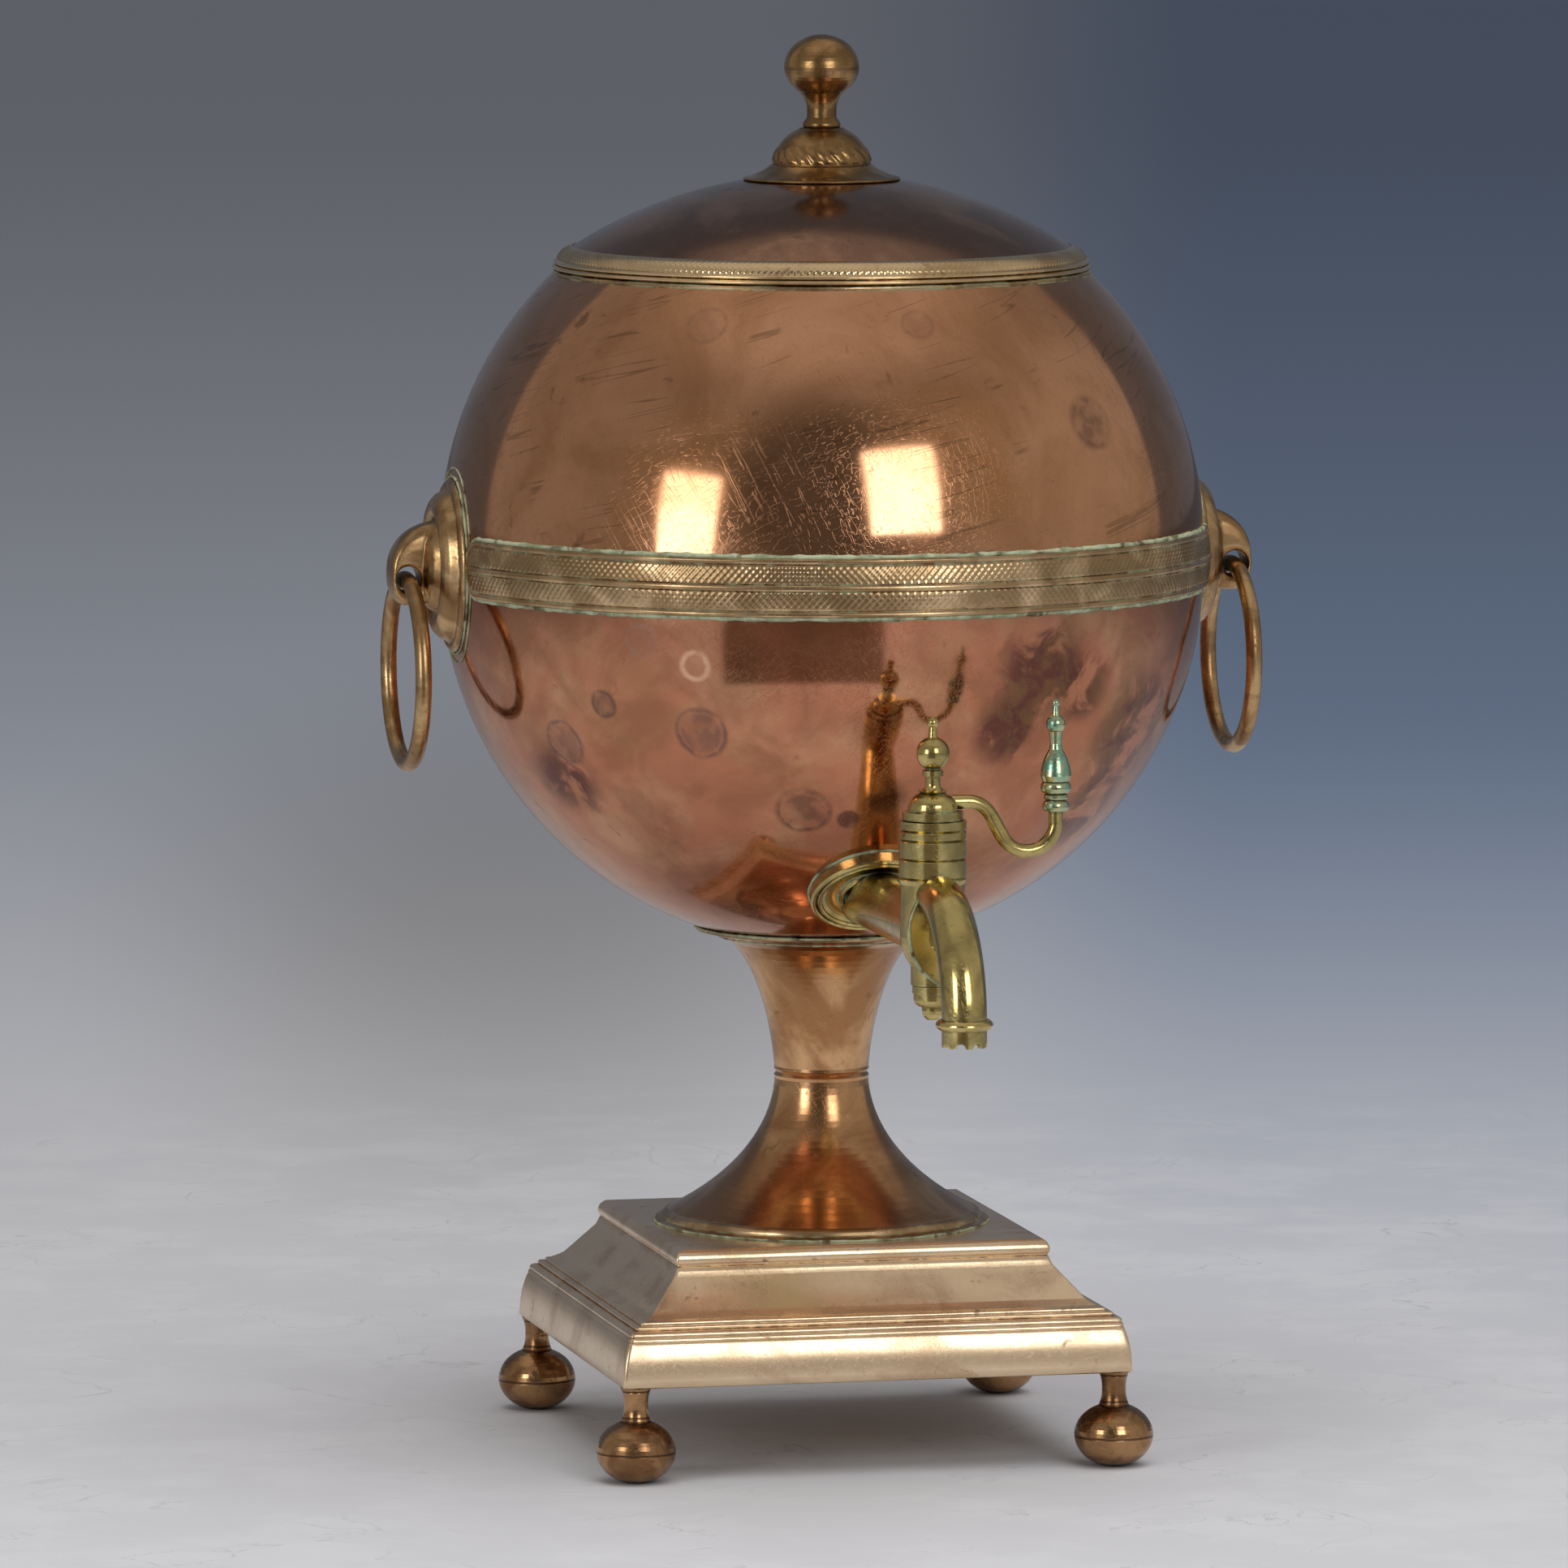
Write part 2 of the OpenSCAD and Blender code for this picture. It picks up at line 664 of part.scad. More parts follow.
// The bowl's wall between two heights
module bowl_wall_between(low_z, high_z) {
    rotate_extrude() intersection() {
        difference() {
            bowl_section(bowl_r);
            bowl_section(bowl_r - bowl_wall);
        }
        translate([0, low_z]) square([2 * bowl_r, high_z - low_z]);
    }
}

module bowl_lower() {
    color(copper) difference() {
        bowl_wall_between(bowl_z - 2 * bowl_r, band_z);
        level_rod(spigot_r + slip_gap, 0, -bowl_r, inlet_z);
    }
}

module bowl_upper() {
    color(copper) bowl_wall_between(band_z, mouth_z);
}

// The girdle band: two edge beads, two broad strips and a middle ridge
module band_arc(from, sweep) {
    strip = (band_edge + band_ridge) / 2;
    bead_z = band_h / 2 - band_bead_h;
    ridge_z = band_bead_h / 2;
    lower = concat(
        [[0, -band_h / 2], [band_edge, -band_h / 2]],
        bow([band_edge, -band_h / 2], [band_edge, -bead_z], -0.4, 4),
        bow([band_edge + 0.2, -bead_z], [strip, -ridge_z], -0.3, 4),
        bow([band_ridge - 0.3, -ridge_z], [band_ridge, 0], -0.1, 2)
    );
    upper = [for (i = [len(lower) - 2:-1:0]) [lower[i].x, -lower[i].y]];
    color(old_brass) translate([0, 0, band_z]) rotate([0, 0, from])
        rotate_extrude(angle = sweep) translate([bowl_r, 0]) polygon(concat(lower, upper));
}

module band_front() { band_arc(180 + band_end_angle, 180 - 2 * band_end_angle); }
module band_back() { band_arc(band_end_angle, 180 - 2 * band_end_angle); }

module mouth_collar() {
    color(old_brass) translate([0, 0, mouth_z]) turned(concat(
        [[collar_bore_r, -collar_depth], [collar_bore_r + collar_wall, -collar_depth]],
        [[collar_bore_r + collar_wall, 0], [collar_r, 0], [collar_r, collar_h / 2]],
        bow([collar_r, collar_h / 2], [collar_r - collar_h / 2, collar_h], -0.2, 3),
        [[collar_bore_r, collar_h]]
    ));
}

// ---- Heater ----

module heater_well() {
    rim_h = 1.5;
    color(copper) difference() {
        union() {
            intersection() {
                translate([0, 0, bowl_z - bowl_r]) cylinder(r = well_r, h = well_top_z - bowl_z + bowl_r);
                rotate_extrude() bowl_section(bowl_r - bowl_wall);
            }
            translate([0, 0, well_top_z - rim_h]) cylinder(r = well_r + well_rim_w, h = rim_h);
        }
        translate([0, 0, well_floor_z + well_floor_h]) cylinder(r = well_bore_r, h = 4 * bowl_r);
        translate([0, 0, well_floor_z - 4 * bowl_r]) cylinder(r = well_bore_r, h = 4 * bowl_r);
    }
}

module heater_slug() {
    chamfer = 1.5;
    color(iron) translate([0, 0, slug_z]) turned([
        [0, 0], [slug_r - chamfer, 0], [slug_r, chamfer], [slug_r, slug_h - chamfer],
        [slug_r - chamfer, slug_h], [0, slug_h]
    ]);
}

module slug_eye() {
    eye_z = slug_z + slug_h + slug_eye_r + slug_eye_rod_r / 2;
    color(iron) difference() {
        translate([0, 0, eye_z]) rotate([90, 0, 0])
            rotate_extrude() translate([slug_eye_r, 0]) circle(r = slug_eye_rod_r);
        translate([0, 0, slug_z]) cylinder(r = slug_r, h = slug_h);
    }
}

module well_cover() {
    cover_r = well_r + well_rim_w - 1;
    spigot_r = well_bore_r - 2 * seat_gap;
    color(old_brass) translate([0, 0, cover_z]) difference() {
        union() {
            translate([0, 0, -cover_spigot_h]) cylinder(r = spigot_r, h = cover_spigot_h + cover_h / 2);
            cylinder(r = cover_r, h = cover_h);
        }
        translate([0, 0, -cover_spigot_h - 1]) cylinder(r = spigot_r - 1.5, h = cover_spigot_h + 1);
    }
}

module cover_knob() {
    neck_r = cover_knob_r * 0.45;
    neck_h = cover_knob_h * 0.35;
    color(dark_bronze) translate([0, 0, cover_z + cover_h]) turned(concat(
        [[0, 0], [cover_knob_r * 0.8, 0]],
        bow([cover_knob_r * 0.8, 0], [neck_r, neck_h], 0.8),
        bow([neck_r, neck_h], [cover_knob_r, cover_knob_h * 0.62], 0.3),
        bow([cover_knob_r, cover_knob_h * 0.62], [0, cover_knob_h], -1.8)
    ));
}

// ---- Lid ----

module lid_dome() {
    color(copper) difference() {
        intersection() {
            dome_ball(dome_r);
            translate([0, 0, dome_edge_z - 4]) cylinder(r = dome_edge_r, h = dome_r);
        }
        dome_ball(dome_r - bowl_wall);
        translate([0, 0, dome_z]) cylinder(r = finial_stud_r + slip_gap, h = dome_r + 1);
    }
}

module lid_rim() {
    shelf_z = dome_z + sqrt(pow(dome_r - bowl_wall, 2) - pow(dome_edge_r, 2)) - slip_gap - lid_z;
    edge_r = lid_r - 0.7;
    fillet_z = lid_bead_h + 0.4;
    strip_z = fillet_z + 1.4;
    color(old_brass) translate([0, 0, lid_z]) turned(concat(
        [[bezel_r, 0], [edge_r, 0]],
        bow([edge_r, 0], [edge_r, lid_bead_h], -0.7),
        [[edge_r - 1, fillet_z]],
        bow([edge_r - 0.8, fillet_z], [edge_r - 0.8, strip_z], -0.3, 4),
        [[edge_r - 1.3, strip_z + 0.2]],
        bow([edge_r - 1.1, strip_z + 0.2], [dome_edge_r, lid_rim_h + 0.3], -0.6),
        [[dome_edge_r, shelf_z], [bezel_r, shelf_z]]
    ));
}

module lid_bezel() {
    color(old_brass) translate([0, 0, lid_z - bezel_depth])
        tube(bezel_r, bezel_r - bezel_wall, bezel_depth + lid_bead_h);
}

// ---- Finial ----

module finial_foot() {
    rim_h = 1;
    bell_h = finial_foot_h * 0.31;
    color(dark_bronze) difference() {
        translate([0, 0, finial_z]) turned(concat(
            [[0, -1], [finial_foot_r - 0.6, -1], [finial_foot_r - 0.6, 0]],
            bow([finial_foot_r - 0.6, 0], [finial_foot_r - 0.6, rim_h], -0.6, 6),
            bow([finial_foot_r - 1.2, rim_h], [finial_bell_r, bell_h], 0.4),
            bow([finial_bell_r, bell_h], [finial_top_r, finial_foot_h], -1.6),
            [[0, finial_foot_h]]
        ));
        dome_ball(dome_r);
        translate([0, 0, dome_z]) cylinder(r = finial_stud_r + slip_gap, h = dome_r + finial_foot_h + 10);
    }
}

module finial_knob() {
    stud_end_z = finial_nut_z - finial_nut_h - 1.5;
    ring_r = finial_top_r - 1.2;
    join_r = finial_neck_r * 1.5;
    join_angle = -acos(join_r / finial_ball_r);
    join = [join_r, finial_neck_h];
    waist = [finial_neck_r, finial_neck_h * 0.55];
    ball_steps = 24;
    ball_z = finial_neck_h - finial_ball_half_h * sin(join_angle);
    ball = [for (i = [1:ball_steps]) let (a = join_angle + (90 - join_angle) * i / ball_steps)
        [finial_ball_r * cos(a), ball_z + finial_ball_half_h * sin(a)]];
    color(dark_bronze) {
        translate([0, 0, finial_neck_z]) turned(concat(
            [[0, 0], [ring_r - 0.4, 0]],
            bow([ring_r - 0.4, 0], [ring_r - 0.4, 2], -0.4, 4),
            [[finial_neck_r, finial_neck_h * 0.3], waist],
            bow(waist, join, 0.5),
            ball
        ));
        translate([0, 0, stud_end_z]) cylinder(r = finial_stud_r, h = finial_neck_z + 1 - stud_end_z);
    }
}

module finial_washer() {
    color(old_brass) translate([0, 0, finial_nut_z])
        tube(finial_washer_r, finial_stud_r + slip_gap, finial_washer_h);
}

module finial_nut() {
    color(iron) translate([0, 0, finial_nut_z - finial_nut_h]) difference() {
        cylinder(r = finial_nut_r, h = finial_nut_h, $fn = 6);
        translate([0, 0, -1]) cylinder(r = finial_stud_r + slip_gap, h = finial_nut_h + 2);
    }
}

// ---- Ring handles ----

// An oval with its long axis upright
function oval(half_w, half_h, steps = 48) =
    [for (i = [0:steps - 1]) let (a = 360 * i / steps) [half_w * cos(a), half_h * sin(a)]];

// The nose that holds the ring, seen from the side: reach outwards and height over the hole
function nose_outline() =
    let (
        root_x = bowl_r + plate_rise - 3,
        brow = [root_x, plate_half_h * 0.66],
        tip = [lug_reach, lug_hole_r + 3.8],
        chin = [lug_reach - 0.5, -lug_hole_r - 1],
        lip = [ring_x + 1.5, -lug_hole_r - 5]
    )
    concat(
        [[root_x - 8, -lug_hole_r - 3], [root_x - 8, brow.y], brow],
        bow(brow, tip, 1.6),
        [chin, lip, [root_x, -lug_hole_r - 3.6]]
    );

module handle_plate(side) {
    bulge_x = bowl_r + plate_rise - 1 - plate_bulge_r;
    plate_z = band_z - plate_drop;
    color(old_brass) mirror([side < 0 ? 1 : 0, 0, 0]) difference() {
        union() {
            intersection() {
                translate([bowl_r / 2, 0, plate_z]) rotate([90, 0, 90])
                    linear_extrude(height = bowl_r) polygon(oval(plate_half_w, plate_half_h));
                translate([bulge_x, 0, plate_z]) sphere(r = plate_bulge_r);
            }
            intersection() {
                translate([bowl_r / 2, 0, plate_z]) rotate([90, 0, 90])
                    linear_extrude(height = bowl_r) polygon(oval(plate_half_w * 0.6, plate_half_h * 0.64));
                translate([bulge_x + 1, 0, plate_z]) sphere(r = plate_bulge_r);
            }
            translate([0, lug_w / 2, lug_hole_z]) rotate([90, 0, 0])
                linear_extrude(height = lug_w) polygon(nose_outline());
        }
        rotate_extrude() bowl_section(bowl_r);
        translate([ring_x, lug_w, lug_hole_z]) rotate([90, 0, 0]) cylinder(r = lug_hole_r, h = 2 * lug_w);
    }
}

module handle_plate_left() { handle_plate(-1); }
module handle_plate_right() { handle_plate(1); }

module ring(side) {
    color(dark_bronze) translate([side * ring_x, 0, ring_pin_z - ring_r]) rotate([0, 90, 0])
        rotate_extrude() translate([ring_r, 0]) circle(r = ring_rod_r);
}

module ring_left() { ring(-1); }
module ring_right() { ring(1); }

// ---- Tap ----

module tap_flange() {
    rim_w = 1.9;
    boss_edge_r = shank_r + rim_w;
    color(tap_brass) difference() {
        translate([0, 0, bowl_z]) rotate([90 + flange_angle, 0, 0]) translate([0, 0, bowl_r]) turned(concat(
            [[0, -3], [flange_r, -3], [flange_r, flange_rise - rim_w / 2]],
            bow([flange_r, flange_rise - rim_w / 2], [flange_r - rim_w, flange_rise - rim_w / 2], -rim_w / 2, 6),
            bow([flange_r - rim_w, flange_rise - rim_w / 2], [flange_r - 2 * rim_w, flange_rise - rim_w / 2],
                -rim_w / 2, 6),
            bow([flange_r - 2 * rim_w, flange_rise - rim_w / 2], [boss_edge_r + 1, flange_rise / 3], 0.4, 4),
            bow([boss_edge_r, flange_rise / 3], [boss_edge_r - rim_w, flange_rise / 3], -flange_rise / 2, 6),
            [[0, flange_rise / 3]]
        ));
        bowl_ball(bowl_r);
        level_rod(shank_r + slip_gap, 0, -tap_reach, inlet_z);
    }
}

// The barrel's outside, with its top bead and two turned grooves
module barrel_solid() {
    groove = 0.5;
    chest_r = barrel_r - groove;
    chest_z = inlet_lift + shank_r + 6;
    grooves = [for (z = [chest_z, chest_z + 6, chest_z + 12, barrel_h - 3]) each
        [[barrel_r, z - groove], [barrel_r - groove, z], [barrel_r, z + groove]]];
    translate([0, -tap_reach, barrel_z]) turned(concat(
        [[0, 0], [barrel_foot_r, 0], [barrel_foot_r, barrel_end_h]],
        bow([barrel_foot_r, barrel_end_h], [chest_r, inlet_lift - 3], -0.8, 5),
        [[chest_r, chest_z - 2]],
        grooves,
        [[barrel_r, barrel_h], [0, barrel_h]]
    ));
}

module tap_body() {
    color(tap_brass) difference() {
        union() {
            barrel_solid();
            difference() {
                level_rod(shank_r, 0, -tap_reach, inlet_z);
                bowl_ball(bowl_r);
            }
            level_rod(spigot_r, -spigot_y, -tap_reach, inlet_z);
        }
        level_rod(inlet_r, 0, -tap_reach, inlet_z);
        level_rod(spout_bore_r, -tap_reach, -tap_reach - 2 * barrel_r, outlet_z);
        translate([0, -tap_reach, barrel_z])
            cylinder(r1 = plug_foot_r + running_gap, r2 = plug_top_r + running_gap, h = barrel_h);
    }
}

module shield_outline() {
    arc_r = (pow(shield_half_h, 2) + pow(shield_half_w, 2)) / (2 * shield_half_w);
    intersection() {
        translate([arc_r - shield_half_w, 0]) circle(r = arc_r);
        translate([shield_half_w - arc_r, 0]) circle(r = arc_r);
    }
}

module tap_spout() {
    bend_y = tap_reach + spout_bend_x;
    outer_y = bend_y + spout_bend_r;
    ring_h = 3;
    color(tap_brass) difference() {
        union() {
            rotate([0, 0, -90]) bent_rod(bend_y, bend_z, spout_bend_r, 0, 90, spout_r);
            translate([0, -outer_y, spout_end_z]) cylinder(r = spout_r, h = spout_tip_h);
            translate([0, -outer_y, bend_z]) turned(concat(
                [[0, -ring_h / 2], [spout_ring_r - 1, -ring_h / 2]],
                bow([spout_ring_r - 1, -ring_h / 2], [spout_ring_r - 1, ring_h / 2], -1, 6),
                [[0, ring_h / 2]]
            ));
            translate([0, -tap_reach - plug_top_r, inlet_z + shield_lift]) rotate([90, 0, 0])
                linear_extrude(height = shield_face - plug_top_r) shield_outline();
        }
        barrel_solid();
        translate([0, -tap_reach, barrel_z - barrel_h]) cylinder(r = plug_washer_r + seat_gap, h = barrel_h);
        rotate([0, 0, -90]) bent_rod(bend_y, bend_z, spout_bend_r, 0, 90, spout_bore_r);
        translate([0, -outer_y, spout_end_z - 1]) cylinder(r = spout_bore_r, h = spout_tip_h + 1);
        for (i = [0:scallops - 1])
            translate([0, -outer_y, spout_end_z]) rotate([90, 0, (i + 0.5) * 360 / scallops])
                cylinder(r = scallop_r, h = 2 * spout_r);
    }
}

module tap_plug() {
    end_z = plug_washer_z - plug_button_h + 1;
    port_h = spout_rise + inlet_r + spout_bore_r;
    color(tap_brass) translate([0, -tap_reach, 0]) difference() {
        union() {
            translate([0, 0, barrel_z]) cylinder(r1 = plug_foot_r, r2 = plug_top_r, h = barrel_h);
            translate([0, 0, barrel_top_z]) cylinder(r = plug_top_r, h = seat_gap);
            translate([0, 0, barrel_top_z + seat_gap]) cylinder(r = plug_collar_r, h = plug_collar_h);
            translate([0, 0, end_z]) cylinder(r = plug_end_r, h = barrel_z - end_z);
        }
        translate([-barrel_r, -port_w / 2, inlet_z - inlet_r]) cube([2 * barrel_r, port_w, port_h]);
    }
}

module plug_washer() {
    color(tap_brass) translate([0, -tap_reach, plug_washer_z])
        tube(plug_washer_r, plug_end_r + slip_gap, plug_washer_h);
}

module plug_button() {
    bore_r = plug_end_r + slip_gap;
    low_z = -plug_button_h;
    color(tap_brass) translate([0, -tap_reach, plug_washer_z]) difference() {
        turned(concat(
            [[0, 0], [0, low_z], [plug_button_r * 0.3, low_z]],
            bow([plug_button_r * 0.3, low_z], [plug_button_r * 0.55, low_z * 0.55], -0.6, 5),
            bow([plug_button_r * 0.7, low_z * 0.5], [plug_button_r, low_z * 0.25], -0.4, 4),
            [[plug_button_r, 0]]
        ));
        translate([0, 0, 1 - plug_button_h - slip_gap]) cylinder(r = bore_r, h = plug_button_h);
    }
}

// The hub around the key, and an arm that rises to a crest and hooks up to the grip
module tap_lever() {
    span = [hook_x - crest_x, hook_z - crest_z];
    run = sqrt(pow(norm(span), 2) - pow(crest_bend_r + hook_bend_r, 2));
    slope = atan2(span.y, span.x) - asin((crest_bend_r + hook_bend_r) / norm(span));
    turn = slope + 90;
    // The straight parts are drawn a touch thicker than the bends
    swell = 0.1;
    color(tap_brass) translate([0, -tap_reach, 0]) {
        translate([0, 0, collar_top_z]) turned(concat(
            [[0, 0], [hub_r, 0]],
            bow([hub_r, 0], [hub_r * 0.6, hub_h * 0.8], -1.1),
            [[hub_r * 0.5, hub_h * 0.85], [hub_r * 0.6, hub_h], [0, hub_h]]
        ));
        translate([0, 0, barrel_top_z + crest_lift]) rotate([0, 90, 0])
            cylinder(r = lever_rod_r + swell, h = crest_x + swell);
        bent_rod(crest_x, crest_z, crest_bend_r, turn, 90, lever_rod_r);
        translate([crest_x + crest_bend_r * cos(turn), 0, crest_z + crest_bend_r * sin(turn)])
            rotate([0, 90 - slope, 0]) translate([0, 0, -swell])
                cylinder(r = lever_rod_r + swell, h = run + 2 * swell);
        bent_rod(hook_x, hook_z, hook_bend_r, turn - 180, 0, lever_rod_r);
        translate([grip_x, 0, hook_z - swell]) cylinder(r = lever_rod_r + swell, h = grip_lift + swell);
    }
}

module lever_grip() {
    // Start, height and radius of the three rings, as shares of the grip
    rings = [[0, 0.085, 0.85], [0.095, 0.06, 0.76], [0.165, 0.09, 0.96]];
    ring_points = [for (r = rings) each concat(
        [[grip_r * 0.6, grip_h * r[0]], [grip_r * (r[2] - 0.12), grip_h * r[0]]],
        bow([grip_r * (r[2] - 0.12), grip_h * r[0]], [grip_r * (r[2] - 0.12), grip_h * (r[0] + r[1])],
            -grip_r * 0.12, 5),
        [[grip_r * 0.6, grip_h * (r[0] + r[1])]]
    )];
    bulb = [grip_r * 0.98, grip_h * 0.28];
    shoulder = [grip_r * 0.42, grip_h * 0.55];
    color(tap_brass) translate([grip_x, -tap_reach, hook_z + grip_lift]) {
        turned(concat(
            [[0, 0]],
            ring_points,
            [[grip_r * 0.85, grip_h * 0.265]],
            bow(bulb, shoulder, -0.7),
            [[grip_r * 0.36, grip_h * 0.6], [grip_r * 0.42, grip_h * 0.71], [0, grip_h * 0.71]]
        ));
        translate([0, 0, grip_h * 0.775]) sphere(r = grip_r * 0.6);
        translate([0, 0, grip_h * 0.8]) cylinder(r1 = grip_r * 0.3, r2 = grip_r * 0.16, h = grip_h * 0.16);
        translate([0, 0, grip_h - grip_r * 0.25]) sphere(r = grip_r * 0.25);
    }
}

module tap_finial() {
    ball_z = key_neck_h + sqrt(pow(key_ball_r, 2) - pow(key_neck_r, 2));
    color(tap_brass) translate([0, -tap_reach, hub_top_z]) {
        turned(concat(
            [[0, 0], [key_neck_r + 1, 0]],
            bow([key_neck_r + 1, 0], [key_neck_r, key_neck_h * 0.3], 0.3, 4),
            [[key_neck_r, key_neck_h * 0.6], [key_neck_r + 0.9, key_neck_h * 0.65]],
            [[key_neck_r + 0.9, key_neck_h * 0.9], [key_neck_r, key_neck_h * 0.95]],
            [[key_neck_r, key_neck_h + 2], [0, key_neck_h + 2]]
        ));
        translate([0, 0, ball_z]) sphere(r = key_ball_r);
        translate([0, 0, ball_z])
            cylinder(r1 = key_ball_r * 0.4, r2 = key_bead_r * 0.6, h = key_ball_r + key_tip_h * 0.6);
        translate([0, 0, ball_z + key_ball_r + key_tip_h - key_bead_r]) sphere(r = key_bead_r);
    }
}

foot_front_left();
foot_front_right();
foot_back_left();
foot_back_right();
foot_nuts();
corner_pads();
plinth();
pedestal_ring();
stem_lower();
stem_upper();
stem_sleeve();
tie_rod();
tie_boss();
tie_washer();
tie_nut();
bowl_seat();
bowl_lower();
bowl_upper();
band_front();
band_back();
mouth_collar();
heater_well();
handle_plate_left();
handle_plate_right();
ring_left();
ring_right();
tap_flange();
tap_body();
tap_spout();
tap_plug();
tap_lever();
lever_grip();
tap_finial();
plug_washer();
plug_button();
lid_dome();
lid_rim();
lid_bezel();
finial_foot();
finial_knob();
finial_washer();
finial_nut();
heater_slug();
slug_eye();
well_cover();
cover_knob();
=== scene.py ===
import json
import math

import bmesh
import bpy
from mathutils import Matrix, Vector, noise


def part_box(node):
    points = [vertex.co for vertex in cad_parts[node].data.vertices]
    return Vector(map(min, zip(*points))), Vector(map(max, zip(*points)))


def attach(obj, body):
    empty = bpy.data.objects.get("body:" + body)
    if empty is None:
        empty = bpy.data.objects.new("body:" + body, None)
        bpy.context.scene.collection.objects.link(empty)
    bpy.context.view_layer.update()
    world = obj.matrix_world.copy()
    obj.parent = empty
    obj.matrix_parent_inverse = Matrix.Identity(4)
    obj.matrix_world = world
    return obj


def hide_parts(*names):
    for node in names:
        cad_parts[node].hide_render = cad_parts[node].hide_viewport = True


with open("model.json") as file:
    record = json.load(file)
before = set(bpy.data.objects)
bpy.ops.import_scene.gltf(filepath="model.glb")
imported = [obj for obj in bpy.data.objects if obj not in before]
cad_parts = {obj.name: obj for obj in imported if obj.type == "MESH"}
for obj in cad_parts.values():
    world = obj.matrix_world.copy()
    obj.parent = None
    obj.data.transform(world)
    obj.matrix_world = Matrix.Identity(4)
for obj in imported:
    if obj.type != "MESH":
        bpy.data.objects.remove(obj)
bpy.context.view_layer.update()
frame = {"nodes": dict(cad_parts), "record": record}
mm = 0.001
print("frame loaded")

urn = {  # sizes in mm that the nodes' boxes don't tell
    "bowlJoint": 6.8,  # height of the straight stretch between the two half balls
    "domeRadius": 150.4, "finialRise": 17.0, "barrelRadius": 10.7,
    "skin": 0.6,  # how deep in the copper its tinned side starts
}


def boxOf(node):
    # a node's lowest and highest corners in mm
    low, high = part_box(node)
    return [v / mm for v in low], [v / mm for v in high]


bowlRadius = boxOf("bowl_lower")[1][0]
bandLow, bandHigh = boxOf("band_front")
bandMiddle = (bandLow[2] + bandHigh[2]) / 2
bowlMiddle = bandMiddle - urn["bowlJoint"] / 2
barrelY = boxOf("tap_body")[0][1] + urn["barrelRadius"]
finialEdge, finialTop = boxOf("finial_foot")[1][0], boxOf("finial_foot")[1][2]
finialBase = finialTop - urn["finialRise"]  # where the foot's edge meets the dome
domeMiddle = finialBase - math.sqrt(urn["domeRadius"] ** 2 - finialEdge ** 2)


def ballRadius(z):
    # the bowl's outer radius at a height
    away = max(bowlMiddle - z, z - bowlMiddle - urn["bowlJoint"], 0.0)
    return math.sqrt(bowlRadius ** 2 - away ** 2)


def polar(r, a, z):
    return (r * math.cos(a), r * math.sin(a), z)


def onBall(turn, z):
    # a point on the bowl in metres, from its turn away from the front in degrees and its height in mm
    a, r = math.radians(turn), ballRadius(z)
    return (r * math.sin(a) * mm, -r * math.cos(a) * mm, z * mm)


def onBowl(y, z, side, lift=0.0):
    # a point over the bowl's side in mm, lifted outwards
    return Vector((side * (math.sqrt(ballRadius(z) ** 2 - y ** 2) + lift), y, z))


def put(tree, kind, sockets=None, **settings):
    # adds a node, sets its properties, then fills or links its inputs
    node = tree.nodes.new(kind)
    for name, value in settings.items():
        setattr(node, name, value)
    for key, value in (sockets or {}).items():
        if isinstance(value, bpy.types.NodeSocket):
            tree.links.new(value, node.inputs[key])
        else:
            node.inputs[key].default_value = value
    return node


def maths(tree, operation, a, b=0.0):
    return put(tree, "ShaderNodeMath", {0: a, 1: b}, operation=operation).outputs[0]


def times(tree, a, b):
    return maths(tree, "MULTIPLY", a, b)


def plus(tree, a, b):
    return maths(tree, "ADD", a, b)


def minus(tree, a, b):
    return maths(tree, "SUBTRACT", a, b)


def apart(tree, a, b):
    return maths(tree, "ABSOLUTE", minus(tree, a, b))


def measure(tree, operation, a, b=(0.0, 0.0, 0.0)):
    # a length, a distance or a dot product
    return put(tree, "ShaderNodeVectorMath", {0: a, 1: b}, operation=operation).outputs["Value"]


def split(tree, vector):
    return list(put(tree, "ShaderNodeSeparateXYZ", {0: vector}).outputs)


def join(tree, x, y, z=0.0):
    return put(tree, "ShaderNodeCombineXYZ", {0: x, 1: y, 2: z}).outputs[0]


def noiseAt(tree, place, scale, detail, roughness=0.5, distortion=0.0):
    sockets = {"Vector": place, "Scale": scale, "Detail": detail, "Roughness": roughness,
               "Distortion": distortion}
    return put(tree, "ShaderNodeTexNoise", sockets).outputs["Fac"]


def scaleOf(tree, size):
    # a noise's scale from the size of its grain in mm
    return maths(tree, "DIVIDE", 1000.0, size)


def mixColour(tree, mask, low, high, blend="MIX"):
    node = put(tree, "ShaderNodeMix", {0: mask, 6: low, 7: high}, data_type="RGBA", blend_type=blend)
    return node.outputs[2]


def ramp(tree, value, fromLow, fromHigh, toLow=0.0, toHigh=1.0):
    node = put(tree, "ShaderNodeMapRange",
               {"Value": value, "From Min": fromLow, "From Max": fromHigh, "To Min": toLow, "To Max": toHigh},
               interpolation_type="SMOOTHSTEP")
    return node.outputs["Result"]


def effect(name, output, inputs):
    # an empty shader group with one output; an input without a value is a vector
    tree = bpy.data.node_groups.new(name, "ShaderNodeTree")
    for label, value in inputs.items():
        kind = "NodeSocketVector" if value is None else "NodeSocketFloat"
        socket = tree.interface.new_socket(name=label, in_out="INPUT", socket_type=kind)
        if value is not None:
            socket.default_value = value
    tree.interface.new_socket(name=output, in_out="OUTPUT", socket_type="NodeSocketFloat")
    return tree, tree.nodes.new("NodeGroupInput").outputs, tree.nodes.new("NodeGroupOutput").inputs[0]


